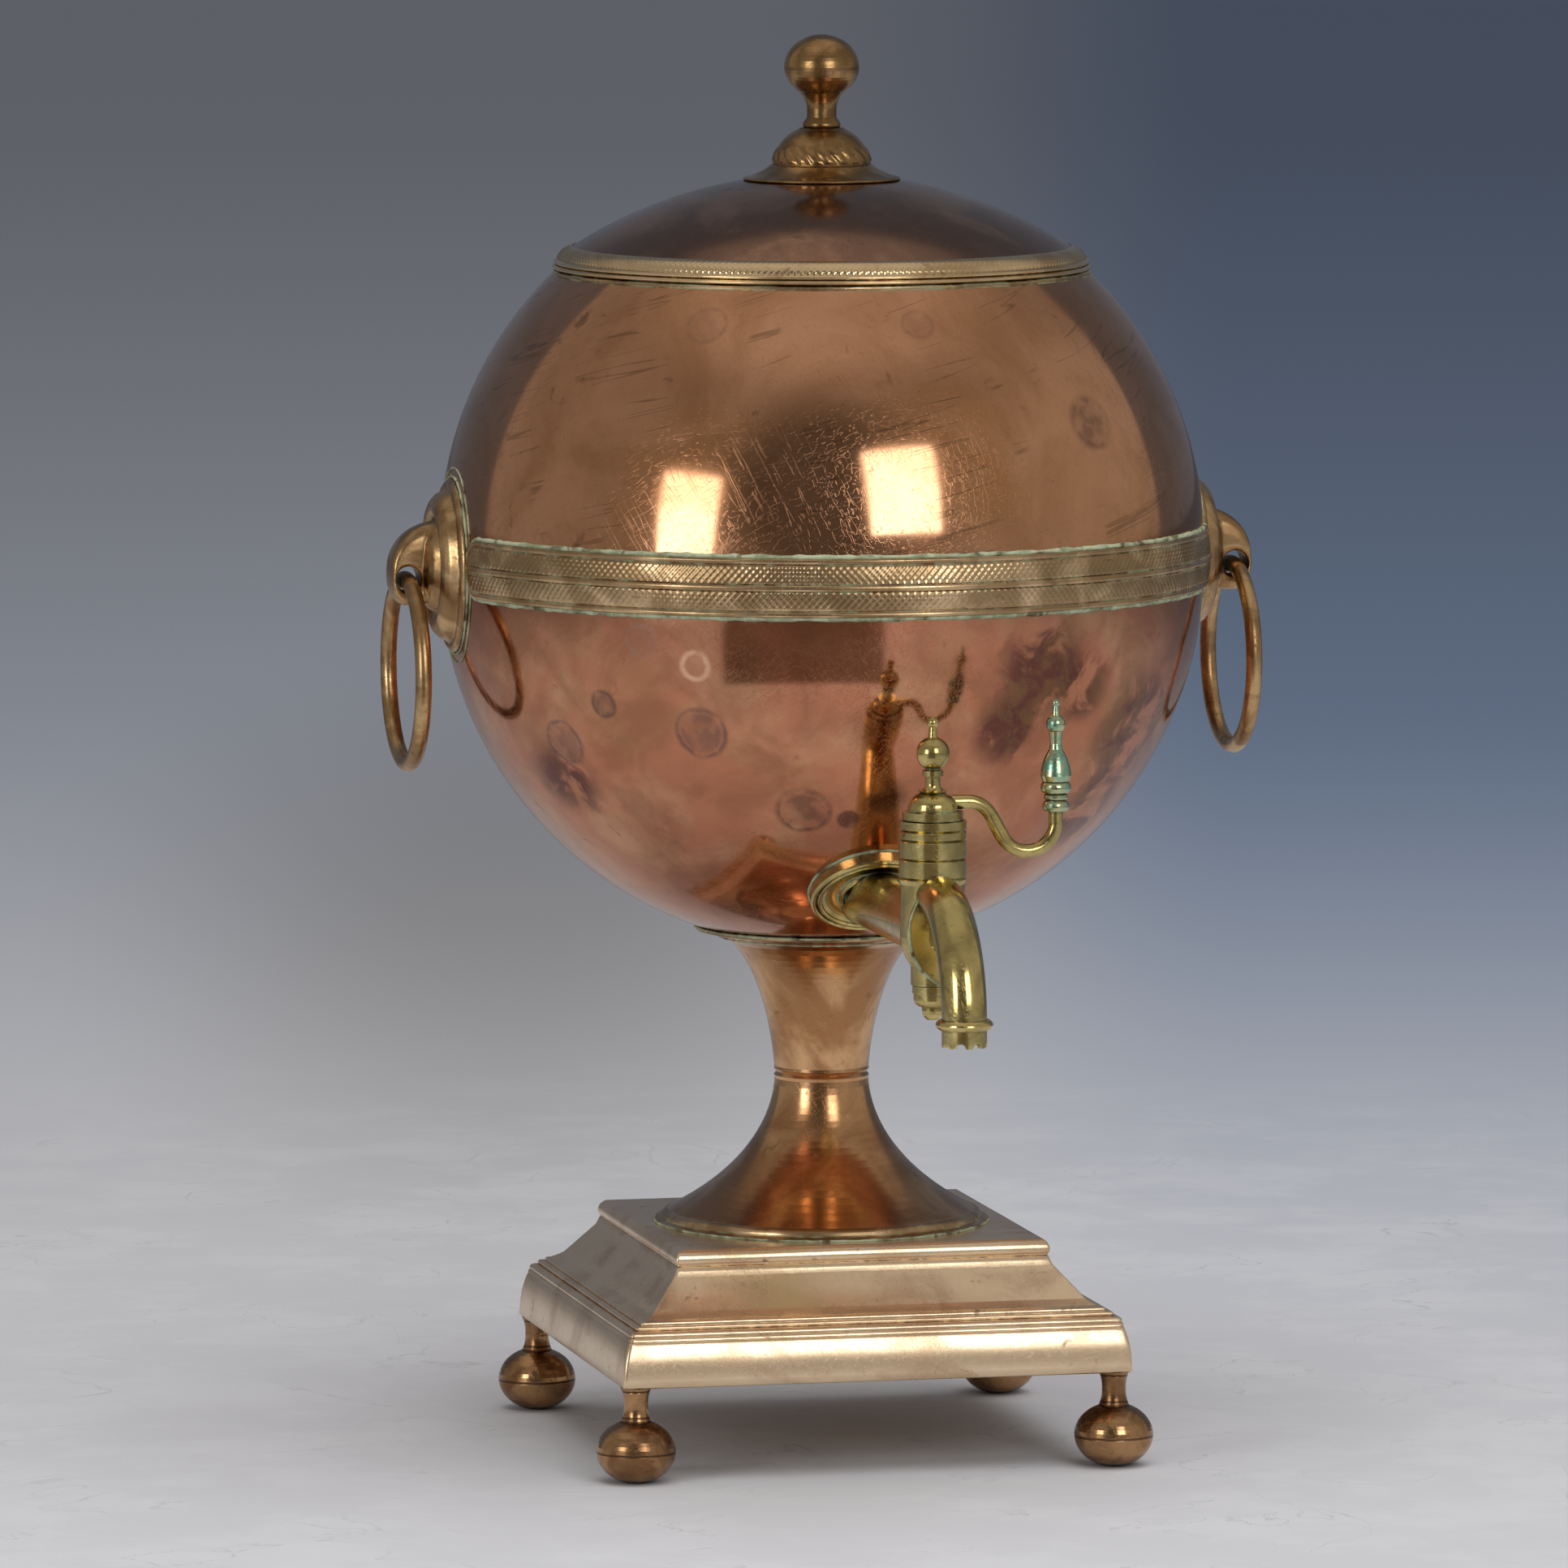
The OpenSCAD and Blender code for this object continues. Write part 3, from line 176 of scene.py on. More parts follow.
def use(tree, group, **sockets):
    # places an effect in a material; its inputs are named in camelCase here
    node = tree.nodes.new("ShaderNodeGroup")
    node.node_tree = group
    for key, value in sockets.items():
        target = node.inputs[key[0].upper() + key[1:]]
        if isinstance(value, bpy.types.NodeSocket):
            tree.links.new(value, target)
        else:
            target.default_value = value
    return node.outputs[0]


def makeCloud():
    # soft irregular patches; Cover is the share of the surface that they take
    tree, given, result = effect(
        "tarnishCloud", "Mask", {"Place": None, "Size": 20.0, "Cover": 0.4, "Edge": 0.1, "Shift": 0.0})
    moved = put(tree, "ShaderNodeVectorMath", {0: given["Place"], 1: given["Shift"]}, operation="ADD")
    cloudy = noiseAt(tree, moved.outputs[0], scaleOf(tree, given["Size"]), 7.0, 0.58, 0.7)
    level = minus(tree, 0.72, times(tree, given["Cover"], 0.44))
    low = minus(tree, level, given["Edge"])
    high = plus(tree, level, given["Edge"])
    tree.links.new(ramp(tree, cloudy, low, high), result)
    return tree


def makeScratches():
    # fine wiping scratches in two slanted directions
    tree, given, result = effect("wipingScratches", "Mask", {"Place": None, "Size": 1.0, "Amount": 0.5})
    lines = []
    for turn, stretch in ((0.5, 0.04), (-0.9, 0.06)):
        slant = {"Vector": given["Place"], "Rotation": (turn, turn * 0.7, turn)}
        laid = put(tree, "ShaderNodeMapping", slant).outputs[0]
        laid = put(tree, "ShaderNodeMapping", {"Vector": laid, "Scale": (1.0, 1.0, stretch)}).outputs[0]
        hair = noiseAt(tree, laid, scaleOf(tree, given["Size"]), 2.0, 0.6)
        lines.append(ramp(tree, apart(tree, hair, 0.5), 0.0, times(tree, given["Amount"], 0.02), 1.0, 0.0))
    tree.links.new(maths(tree, "MAXIMUM", lines[0], lines[1]), result)
    return tree


def makeCrevice():
    # 1 in corners and grooves, 0 on open faces, broken up a little; it places the painted shade and dirt in
    # hollows, and the verdigris
    tree, given, result = effect("creviceShadeAndDirt", "Mask", {"Place": None, "Reach": 3.0, "Amount": 1.0})
    hollow = put(tree, "ShaderNodeAmbientOcclusion", {"Distance": times(tree, given["Reach"], mm)},
                 samples=6, only_local=False)
    speck = noiseAt(tree, given["Place"], 420.0, 4.0)
    broken = times(tree, ramp(tree, speck, 0.25, 0.7, 0.55, 1.25), given["Amount"])
    shut = minus(tree, 1.0, hollow.outputs["AO"])
    tree.links.new(ramp(tree, times(tree, shut, broken), 0.22, 0.62), result)
    return tree


def makeEdgeRub():
    # 1 along outer edges that cloths and hands rub bright
    tree, given, result = effect("edgeRub", "Mask", {"Place": None, "Width": 0.6, "Amount": 1.0})
    inner = put(tree, "ShaderNodeAmbientOcclusion", {"Distance": times(tree, given["Width"], mm)},
                samples=4, inside=True, only_local=True)
    speck = noiseAt(tree, given["Place"], 300.0, 3.0)
    rubbed = times(tree, minus(tree, 1.0, inner.outputs["AO"]), given["Amount"])
    broken = times(tree, rubbed, ramp(tree, speck, 0.3, 0.6, 0.4, 1.2))
    tree.links.new(ramp(tree, broken, 0.15, 0.6), result)
    return tree


def makeTurning():
    # fine lines left by the lathe around an upright axis
    tree, given, result = effect("turningLines", "Height", {"Place": None, "Axis": None, "Pitch": 0.5})
    centred = put(tree, "ShaderNodeVectorMath", {0: given["Place"], 1: given["Axis"]}, operation="SUBTRACT")
    x, y, z = split(tree, centred.outputs[0])
    out = measure(tree, "LENGTH", join(tree, x, y))
    around = times(tree, maths(tree, "ARCTAN2", y, x), 0.0012)
    lines = noiseAt(tree, join(tree, out, around, z), scaleOf(tree, given["Pitch"]), 3.0)
    tree.links.new(lines, result)
    return tree


def makeStain():
    # a round water mark: a ring, and a fainter disc inside it
    tree, given, result = effect(
        "roundStain", "Mask", {"Place": None, "Centre": None, "Radius": 8.0, "Width": 1.2, "Fill": 0.4})
    place, radius = given["Place"], given["Radius"]
    wobble = noiseAt(tree, place, 160.0, 5.0)
    away = times(tree, measure(tree, "DISTANCE", place, given["Centre"]), 1000.0)
    shift = times(tree, minus(tree, wobble, 0.5), radius)
    bent = plus(tree, away, times(tree, shift, 0.45))
    ring = ramp(tree, apart(tree, bent, radius), 0.0, given["Width"], 1.0, 0.0)
    disc = ramp(tree, bent, radius, times(tree, radius, 0.75), 0.0, 1.0)
    mottle = ramp(tree, wobble, 0.35, 0.6, 0.3, 1.0)
    inside = times(tree, times(tree, disc, given["Fill"]), mottle)
    tree.links.new(maths(tree, "MAXIMUM", times(tree, ring, mottle), inside), result)
    return tree


def makeStreaks():
    # long thin dark lines that drift round the bowl, broken into stretches
    tree, given, result = effect(
        "longStreaks", "Mask", {"Place": None, "Size": 9.0, "Stretch": 0.1, "Width": 0.02})
    x, y, z = split(tree, given["Place"])
    around = times(tree, maths(tree, "ARCTAN2", x, y), 0.125)
    climb = plus(tree, z, times(tree, around, 0.22))
    laid = join(tree, times(tree, around, given["Stretch"]), climb, 0.3)
    lines = noiseAt(tree, laid, scaleOf(tree, given["Size"]), 2.0, 0.4)
    thin = ramp(tree, apart(tree, lines, 0.5), times(tree, given["Width"], 0.3), given["Width"], 1.0, 0.0)
    shown = ramp(tree, noiseAt(tree, given["Place"], 46.0, 4.0), 0.5, 0.6)
    tree.links.new(times(tree, thin, shown), result)
    return tree


cloud = makeCloud()
longStreaks = makeStreaks()
scratches = makeScratches()
crevice = makeCrevice()
edgeRub = makeEdgeRub()
turning = makeTurning()
roundStain = makeStain()
print("shared effects made")


def colour(r, g, b):
    return (r, g, b, 1.0)


def newMaterial(name):
    # an empty material, its node tree and the place on the piece
    material = bpy.data.materials.new(name)
    material.use_nodes = True
    tree = material.node_tree
    tree.nodes.clear()
    return material, tree, put(tree, "ShaderNodeTexCoord").outputs["Object"]


def lay(tree, sockets):
    # a material's own shader and output
    shader = put(tree, "ShaderNodeBsdfPrincipled", sockets)
    put(tree, "ShaderNodeOutputMaterial", {"Surface": shader.outputs[0]})


verdigris = colour(0.30, 0.36, 0.22)
usual = {  # a finish says these only where it differs
    "tarnish": 0.5, "patchEdge": 0.12, "tarnishDulls": 0.1, "rubWidth": 0.7, "scratches": 0.3,
    "scratchSize": 2.2, "fleckShows": 0.6, "scratchShows": 0.22, "dirtShows": 0.85, "seamShows": 0.8,
    "seamDepth": 0.12, "metallic": 1.0, "axis": (0.0, 0.0, 0.0), "seams": [],
}


def startMetal(name, finish):
    # a tarnished metal up to its colour, roughness and height, which a caller may still add to
    f = {**usual, **finish}
    material, tree, place = newMaterial(name)
    brown = use(tree, cloud, place=place, size=f["patchSize"], cover=f["tarnish"], edge=f["patchEdge"])
    fleck = use(tree, cloud, place=place, size=f["patchSize"] * 0.2, cover=f["flecks"], edge=0.07, shift=3.1)
    dirt = use(tree, crevice, place=place, reach=f["dirtReach"], amount=f["dirt"])
    rub = use(tree, edgeRub, place=place, width=f["rubWidth"], amount=f["rub"])
    hair = use(tree, scratches, place=place, size=f["scratchSize"], amount=f["scratches"])
    base = mixColour(tree, brown, f["bright"], f["brown"])
    base = mixColour(tree, times(tree, fleck, f["fleckShows"]), base, f["dark"])
    base = mixColour(tree, times(tree, hair, f["scratchShows"]), base, f["dark"])
    base = mixColour(tree, rub, base, f["bright"])
    # painted shade and dirt: the metal turns darker in corners and grooves
    base = mixColour(tree, times(tree, dirt, f["dirtShows"]), base, f["dark"])
    rough = plus(tree, times(tree, brown, f["tarnishDulls"]), f["roughness"])
    rough = plus(tree, rough, times(tree, maths(tree, "MAXIMUM", fleck, dirt), 0.2))
    rough = plus(tree, rough, times(tree, hair, 0.06))
    height = times(tree, noiseAt(tree, place, f["grain"], 5.0), f["grainDepth"])
    height = minus(tree, height, times(tree, hair, 0.006))
    height = minus(tree, height, times(tree, fleck, 0.01))
    if "turnPitch" in f:
        lines = use(tree, turning, place=place, axis=f["axis"], pitch=f["turnPitch"])
        height = plus(tree, height, times(tree, lines, f["turnDepth"]))
    level = split(tree, place)[2]
    for z, width in f["seams"]:  # fine turned lines: height and half width in mm
        line = ramp(tree, apart(tree, level, z * mm), width * 0.4 * mm, width * mm, 1.0, 0.0)
        base = mixColour(tree, times(tree, line, f["seamShows"]), base, f["dark"])
        height = minus(tree, height, times(tree, line, f["seamDepth"]))
    return {"material": material, "tree": tree, "place": place, "level": level, "base": base, "rough": rough,
            "height": height, "metal": f["metallic"]}


def stain(parts, mask, strength, shade):
    # lays a shade over the metal's colour
    tree = parts["tree"]
    parts["base"] = mixColour(tree, times(tree, mask, strength), parts["base"], shade)


def addVerdigris(parts, amount, reach):
    # green salts that grow out of the corners
    tree, place = parts["tree"], parts["place"]
    corner = use(tree, crevice, place=place, reach=reach, amount=1.5)
    patch = use(tree, cloud, place=place, size=9.0, cover=amount, edge=0.1, shift=7.7)
    mask = times(tree, corner, patch)
    parts["base"] = mixColour(tree, mask, parts["base"], verdigris)
    parts["rough"] = maths(tree, "MAXIMUM", parts["rough"], times(tree, mask, 0.85))
    parts["metal"] = minus(tree, 1.0, mask)


def addTin(parts, middle, radius, joint=0.0):
    # wiped tin on the inside of a ball-shaped wall, told by how far it lies from the ball's middle
    tree, level = parts["tree"], parts["level"]
    up = minus(tree, level, (middle + joint) * mm)
    down = minus(tree, middle * mm, level)
    away = maths(tree, "MAXIMUM", maths(tree, "MAXIMUM", up, down), 0.0)
    x, y, z = split(tree, parts["place"])
    reach = measure(tree, "LENGTH", join(tree, x, y, away))
    inside = maths(tree, "LESS_THAN", reach, (radius - urn["skin"]) * mm)
    worn = use(tree, cloud, place=parts["place"], size=26.0, cover=0.45, edge=0.14, shift=15.0)
    tin = mixColour(tree, worn, tinFinish["bright"], tinFinish["brown"])
    parts["base"] = mixColour(tree, inside, parts["base"], tin)
    parts["rough"] = maths(tree, "MAXIMUM", parts["rough"], times(tree, inside, tinFinish["roughness"]))


def finishMetal(parts):
    tree = parts["tree"]
    bump = put(tree, "ShaderNodeBump", {"Height": parts["height"], "Distance": mm, "Strength": 1.0})
    lay(tree, {"Base Color": parts["base"], "Roughness": parts["rough"], "Metallic": parts["metal"],
               "Normal": bump.outputs[0]})
    return parts["material"]


bowlFinish = {
    "bright": colour(0.67, 0.35, 0.195), "brown": colour(0.50, 0.245, 0.12), "dark": colour(0.17, 0.07, 0.04),
    "patchSize": 46.0, "patchEdge": 0.16, "flecks": 0.07, "dirt": 0.6, "dirtReach": 2.0, "rub": 0.3,
    "scratches": 0.35, "scratchSize": 2.6, "roughness": 0.075, "tarnishDulls": 0.045,
    "grain": 900.0, "grainDepth": 0.0015, "swell": 0.05,
    "underBand": 286.0, "bandFade": 6.0,  # below this height the copper is redder and more stained
    "redPatch": colour(0.54, 0.205, 0.115), "umberPatch": colour(0.26, 0.11, 0.055),
    "streak": colour(0.16, 0.085, 0.05), "markShows": 0.82, "markDulls": 0.1,
    "waterMarks": [  # turn from the front, height, radius, width of the ring, how full it is, shade
        (-32.0, 265.0, 4.4, 1.6, 0.1, colour(0.85, 0.52, 0.32)),
        (-32.0, 243.0, 8.2, 1.6, 0.8, colour(0.20, 0.105, 0.085)),
        (-48.5, 251.0, 4.2, 1.6, 0.8, colour(0.17, 0.09, 0.075)),
        (-59.0, 237.0, 7.4, 1.6, 0.6, colour(0.22, 0.12, 0.10)),
        (-16.0, 217.5, 8.0, 2.2, 0.75, colour(0.12, 0.06, 0.045)),
        (-8.0, 214.5, 3.0, 1.8, 1.0, colour(0.12, 0.05, 0.04)),
        (-40.5, 272.5, 5.0, 1.4, 0.3, colour(0.42, 0.22, 0.15)),
        (-35.0, 371.5, 6.5, 1.6, 0.5, colour(0.44, 0.22, 0.13)),
        (5.5, 372.0, 5.0, 1.5, 0.5, colour(0.44, 0.22, 0.13)),
        (35.0, 339.5, 7.5, 3.0, 0.9, colour(0.25, 0.13, 0.09)),
        (148.0, 250.0, 5.7, 2.3, 0.5, colour(0.40, 0.22, 0.16)),
        (-142.0, 240.0, 6.0, 1.6, 0.6, colour(0.36, 0.20, 0.15)),
    ],
    "scorch": [  # dark purple blotches: turn from the front, height, radius
        (22.5, 262.5, 24.0), (17.5, 243.0, 17.0), (31.5, 255.0, 15.0), (-2.0, 222.0, 9.0),
        (-150.0, 262.0, 20.0), (48.5, 238.0, 30.0), (45.0, 212.0, 22.0), (-62.5, 224.0, 20.0),
    ],
    "scorchColour": colour(0.105, 0.038, 0.036), "scorchTinge": colour(0.17, 0.09, 0.045),
    "scorchShows": 0.85,
}


def makeBowlCopper():
    s = bowlFinish
    parts = startMetal("bowlCopper", s)
    tree, place = parts["tree"], parts["place"]
    below = ramp(tree, parts["level"], s["underBand"] * mm, (s["underBand"] - s["bandFade"]) * mm)
    red = use(tree, cloud, place=place, size=30.0, cover=0.62, edge=0.15, shift=21.0)
    umber = use(tree, cloud, place=place, size=24.0, cover=0.46, edge=0.13, shift=33.0)
    lower = mixColour(tree, times(tree, red, 0.85), parts["base"], s["redPatch"])
    lower = mixColour(tree, times(tree, umber, 0.45), lower, s["umberPatch"])
    parts["base"] = mixColour(tree, below, parts["base"], lower)
    wiped = use(tree, longStreaks, place=place, size=6.0, stretch=0.045, width=0.014)
    stain(parts, times(tree, wiped, minus(tree, 1.0, below)), 0.45, s["streak"])
    for turn, z, radius, width, fill, shade in s["waterMarks"]:
        mark = use(tree, roundStain, place=place, centre=onBall(turn, z), radius=radius, width=width,
                   fill=fill)
        stain(parts, mark, s["markShows"], shade)
        parts["rough"] = plus(tree, parts["rough"], times(tree, mark, s["markDulls"]))
    ragged = use(tree, cloud, place=place, size=17.0, cover=0.6, edge=0.06, shift=11.0)
    tinge = use(tree, cloud, place=place, size=9.0, cover=0.45, edge=0.1, shift=5.0)
    burnt = mixColour(tree, tinge, s["scorchColour"], s["scorchTinge"])
    for turn, z, radius in s["scorch"]:
        away = measure(tree, "DISTANCE", place, onBall(turn, z))
        near = ramp(tree, away, radius * 0.35 * mm, radius * mm, 1.0, 0.0)
        stain(parts, times(tree, near, ragged), s["scorchShows"], burnt)
    addTin(parts, bowlMiddle, bowlRadius, urn["bowlJoint"])
    dents = times(tree, noiseAt(tree, place, 26.0, 1.0), s["swell"])
    parts["height"] = plus(tree, parts["height"], dents)
    return finishMetal(parts)


lidFinish = {
    "bright": colour(0.50, 0.27, 0.16), "brown": colour(0.27, 0.145, 0.09), "dark": colour(0.12, 0.06, 0.04),
    "patchSize": 40.0, "tarnish": 0.62, "flecks": 0.08, "dirt": 0.6, "dirtReach": 2.0, "rub": 0.2,
    "roughness": 0.1, "tarnishDulls": 0.05, "grain": 900.0, "grainDepth": 0.002, "turnPitch": 1.4,
    "turnDepth": 0.003,
}
plinthFinish = {
    "bright": colour(0.80, 0.61, 0.40), "brown": colour(0.60, 0.425, 0.265), "dark": colour(0.18, 0.10, 0.055),
    "metallic": 0.82, "patchSize": 34.0, "tarnish": 0.42, "flecks": 0.08, "dirt": 0.9, "dirtReach": 1.6,
    "rub": 0.6, "scratches": 0.4, "scratchSize": 1.6, "roughness": 0.2, "tarnishDulls": 0.07,
    "grain": 600.0, "grainDepth": 0.006,
}
stemFinish = {
    "bright": colour(0.74, 0.44, 0.22), "brown": colour(0.43, 0.215, 0.095), "dark": colour(0.15, 0.065, 0.025),
    "patchSize": 30.0, "tarnish": 0.52, "flecks": 0.07, "dirt": 0.9, "dirtReach": 2.4, "rub": 0.4,
    "roughness": 0.15, "tarnishDulls": 0.08, "grain": 700.0, "grainDepth": 0.003, "turnPitch": 0.7,
    "turnDepth": 0.006,
}
oldBrassFinish = {
    "bright": colour(0.68, 0.475, 0.265), "brown": colour(0.37, 0.24, 0.12), "dark": colour(0.10, 0.06, 0.03),
    "patchSize": 18.0, "tarnish": 0.55, "flecks": 0.1, "dirt": 1.3, "dirtReach": 1.2, "rub": 1.0,
    "rubWidth": 0.5, "roughness": 0.22, "grain": 800.0, "grainDepth": 0.004,
}
rimFinish = {
    "bright": colour(0.82, 0.61, 0.35), "brown": colour(0.56, 0.38, 0.19), "dark": colour(0.13, 0.08, 0.04),
    "patchSize": 24.0, "tarnish": 0.4, "flecks": 0.06, "dirt": 1.1, "dirtReach": 0.9, "rub": 0.9,
    "rubWidth": 0.5, "scratches": 0.25, "roughness": 0.19, "tarnishDulls": 0.08, "grain": 800.0,
    "grainDepth": 0.003,
}
tapFinish = {
    "bright": colour(0.68, 0.54, 0.21), "brown": colour(0.36, 0.285, 0.11), "dark": colour(0.05, 0.045, 0.025),
    "patchSize": 16.0, "tarnish": 0.45, "patchEdge": 0.2, "flecks": 0.12, "dirt": 1.2, "dirtReach": 2.2,
    "rub": 0.9, "scratches": 0.4, "scratchSize": 1.2, "roughness": 0.12, "grain": 900.0, "grainDepth": 0.004,
    "turnPitch": 0.5, "turnDepth": 0.006, "axis": (0.0, barrelY * mm, 0.0),
}
gripFinish = {
    "bright": colour(0.56, 0.55, 0.30), "brown": colour(0.27, 0.50, 0.37), "dark": colour(0.12, 0.13, 0.06),
    "patchSize": 6.0, "flecks": 0.14, "dirt": 1.2, "dirtReach": 1.2, "rub": 0.6, "scratchSize": 1.0,
    "roughness": 0.16, "tarnishDulls": 0.12, "grain": 900.0, "grainDepth": 0.006,
}
handleFinish = {
    "bright": colour(0.62, 0.41, 0.20), "brown": colour(0.34, 0.20, 0.09), "dark": colour(0.09, 0.05, 0.025),
    "patchSize": 13.0, "tarnish": 0.55, "flecks": 0.12, "dirt": 1.1, "dirtReach": 2.4, "rub": 0.7,
    "scratches": 0.35, "scratchSize": 1.4, "roughness": 0.24, "grain": 500.0, "grainDepth": 0.014,
}
finialFinish = {
    "bright": colour(0.48, 0.28, 0.12), "brown": colour(0.25, 0.15, 0.06), "dark": colour(0.06, 0.035, 0.018),
    "patchSize": 12.0, "flecks": 0.1, "dirt": 1.2, "dirtReach": 1.8, "rub": 0.8, "scratchSize": 1.4,
    "roughness": 0.2, "grain": 700.0, "grainDepth": 0.006, "turnPitch": 0.6, "turnDepth": 0.004,
}
footFinish = {
    "bright": colour(0.50, 0.29, 0.14), "brown": colour(0.25, 0.13, 0.06), "dark": colour(0.07, 0.035, 0.02),
    "seams": [(10.1, 0.5), (19.9, 0.4), (21.2, 0.35), (29.6, 0.4)],
    "patchSize": 12.0, "flecks": 0.12, "dirt": 1.1, "dirtReach": 1.8, "rub": 0.6, "scratches": 0.35,
    "scratchSize": 1.4, "roughness": 0.16, "grain": 600.0, "grainDepth": 0.006,
}
ironFinish = {
    "bright": colour(0.26, 0.24, 0.23), "brown": colour(0.16, 0.10, 0.07), "dark": colour(0.05, 0.035, 0.03),
    "patchSize": 14.0, "flecks": 0.3, "dirt": 0.8, "dirtReach": 2.0, "rub": 0.5, "roughness": 0.5,
    "tarnishDulls": 0.2, "grain": 350.0, "grainDepth": 0.08,
}
tinFinish = {
    "bright": colour(0.66, 0.64, 0.60), "brown": colour(0.48, 0.40, 0.34), "dark": colour(0.16, 0.13, 0.11),
    "patchSize": 26.0, "tarnish": 0.45, "flecks": 0.16, "dirt": 0.7, "dirtReach": 3.0, "rub": 0.3,
    "roughness": 0.34, "tarnishDulls": 0.14, "grain": 200.0, "grainDepth": 0.02,
}
solderFinish = {
    "grey": colour(0.21, 0.235, 0.13), "pale": colour(0.42, 0.46, 0.30), "bare": colour(0.16, 0.11, 0.06),
    "roughness": 0.8, "bareMetal": 0.8, "crust": 1100.0, "crustDepth": 0.12,
}


def makeMetal(name, finish, green=0.0, greenReach=0.0):
    parts = startMetal(name, finish)
    if green:
        addVerdigris(parts, green, greenReach)
    return finishMetal(parts)


def makeLidCopper():
    parts = startMetal("lidCopper", lidFinish)
    addTin(parts, domeMiddle, urn["domeRadius"])
    return finishMetal(parts)


def makeSolder():
    # pale green crust on old solder
    s = solderFinish
    material, tree, place = newMaterial("solderCrust")
    patch = use(tree, cloud, place=place, size=7.0, cover=0.55, edge=0.12, shift=1.0)
    bare = use(tree, cloud, place=place, size=8.0, cover=0.28, edge=0.08, shift=9.0)
    base = mixColour(tree, patch, s["grey"], s["pale"])
    base = mixColour(tree, bare, base, s["bare"])
    crust = noiseAt(tree, place, s["crust"], 6.0)
    bump = put(tree, "ShaderNodeBump", {"Height": crust, "Distance": s["crustDepth"] * mm})
    metal = times(tree, bare, s["bareMetal"])
    lay(tree, {"Base Color": base, "Roughness": s["roughness"], "Metallic": metal, "Normal": bump.outputs[0]})
    return material


metals = {
    "bowl_copper": makeBowlCopper(),
    "lid_copper": makeLidCopper(),
    "tinned_copper": makeMetal("wipedTin", tinFinish),
    "plinth_brass": makeMetal("plinthBrass", plinthFinish),
    "stem_brass": makeMetal("stemBrass", stemFinish),
    "old_brass": makeMetal("oldBrass", oldBrassFinish, green=0.5, greenReach=1.6),
    "tap_brass": makeMetal("tapBrass", tapFinish, green=0.3, greenReach=2.5),
    "grip_brass": makeMetal("gripBrass", gripFinish),
    "handle_bronze": makeMetal("handleBronze", handleFinish, green=0.35, greenReach=2.5),
    "finial_bronze": makeMetal("finialBronze", finialFinish),
    "foot_bronze": makeMetal("footBronze", footFinish),
    "iron": makeMetal("forgedIron", ironFinish),
}
rimBrass = makeMetal("rimBrass", rimFinish)
solder = makeSolder()
slotOf = {part["node"]: part["material_slot"] for part in frame["record"]["subparts"]}
for node, piece in frame["nodes"].items():
    piece.data.materials.clear()
    piece.data.materials.append(metals[slotOf[node]])
print("metals made")


def newObject(name, data):
    thing = bpy.data.objects.new(name, data)
    bpy.context.scene.collection.objects.link(thing)
    return thing


def addPiece(name, vertices, faces, body, material, sharp=None):
    # a smooth piece on a body; edges that bend more than sharp degrees stay crisp
    mesh = bpy.data.meshes.new(name)
    mesh.from_pydata([[v * mm for v in p] for p in vertices], [], faces)
    mesh.update()
    work = bmesh.new()
    work.from_mesh(mesh)
    bmesh.ops.recalc_face_normals(work, faces=work.faces)
    for face in work.faces:
        face.smooth = True
    if sharp is not None:
        limit = math.radians(sharp)
        for edge in work.edges:
            if len(edge.link_faces) == 2 and edge.calc_face_angle(0.0) > limit:
                edge.smooth = False
    work.to_mesh(mesh)
    work.free()
    mesh.materials.append(material)
    piece = newObject(name, mesh)
    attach(piece, body)
    return piece


def anglesOf(count):
    return [2 * math.pi * i / count for i in range(count)]


def loopFaces(columns, rows, wrapColumns=True):
    # faces of a grid whose rows always close into a ring
    faces = []
    for i in range(columns if wrapColumns else columns - 1):
        a, b = i * rows, (i + 1) % columns * rows
        for j in range(rows):
            k = (j + 1) % rows
            faces.append((a + j, a + k, b + k, b + j))
    return faces


def ringFaces(first, rings, spokes, flip=False):
    # faces between rings of points, each inside or over the one before
    faces = []
    for j in range(rings - 1):
        a, b = first + j * spokes, first + (j + 1) * spokes
        for i in range(spokes):
            k = (i + 1) % spokes
            faces.append((a + i, b + i, b + k, a + k) if flip else (a + i, a + k, b + k, b + i))
    return faces


def arc(start, end, bulge, steps):
    # points after start and up to end on a shallow curve that swells to the right of its way
    points = []
    dx, dy = end[0] - start[0], end[1] - start[1]
    length = math.hypot(dx, dy)
    for i in range(1, steps + 1):
        t = i / steps
        swell = bulge * 4 * t * (1 - t) / length
        points.append((start[0] + dx * t + dy * swell, start[1] + dy * t - dx * swell))
    return points


def turned(rows, columns, relief):
    # a closed outline of (radius, height) turned about the upright axis, with a relief on its rows
    vertices = []
    for i, a in enumerate(anglesOf(columns)):
        for j, (r, z) in enumerate(rows):
            vertices.append(polar(r + relief(i, j, a), a, z))
    return vertices, loopFaces(columns, len(rows))


def solderBead(name, points, radius, normals=None, seed=0.0):
    # an uneven crust of solder and green salts along a closed joint
    sides = 8
    vertices = []
    for i, p in enumerate(points):
        rough = noise.noise(p * 0.35 + Vector((seed, 0, 0))) + 0.5 * noise.noise(p * 1.1)
        thick = radius * (1 + 0.55 * rough)
        along = (points[(i + 1) % len(points)] - points[i - 1]).normalized()
        side = along.cross(normals[i] if normals else Vector((0, 0, 1))).normalized()
        up = side.cross(along)
        vertices += [p + (side * math.cos(a) + up * math.sin(a)) * thick for a in anglesOf(sides)]
    addPiece(name, vertices, loopFaces(len(points), sides), "urn", solder)


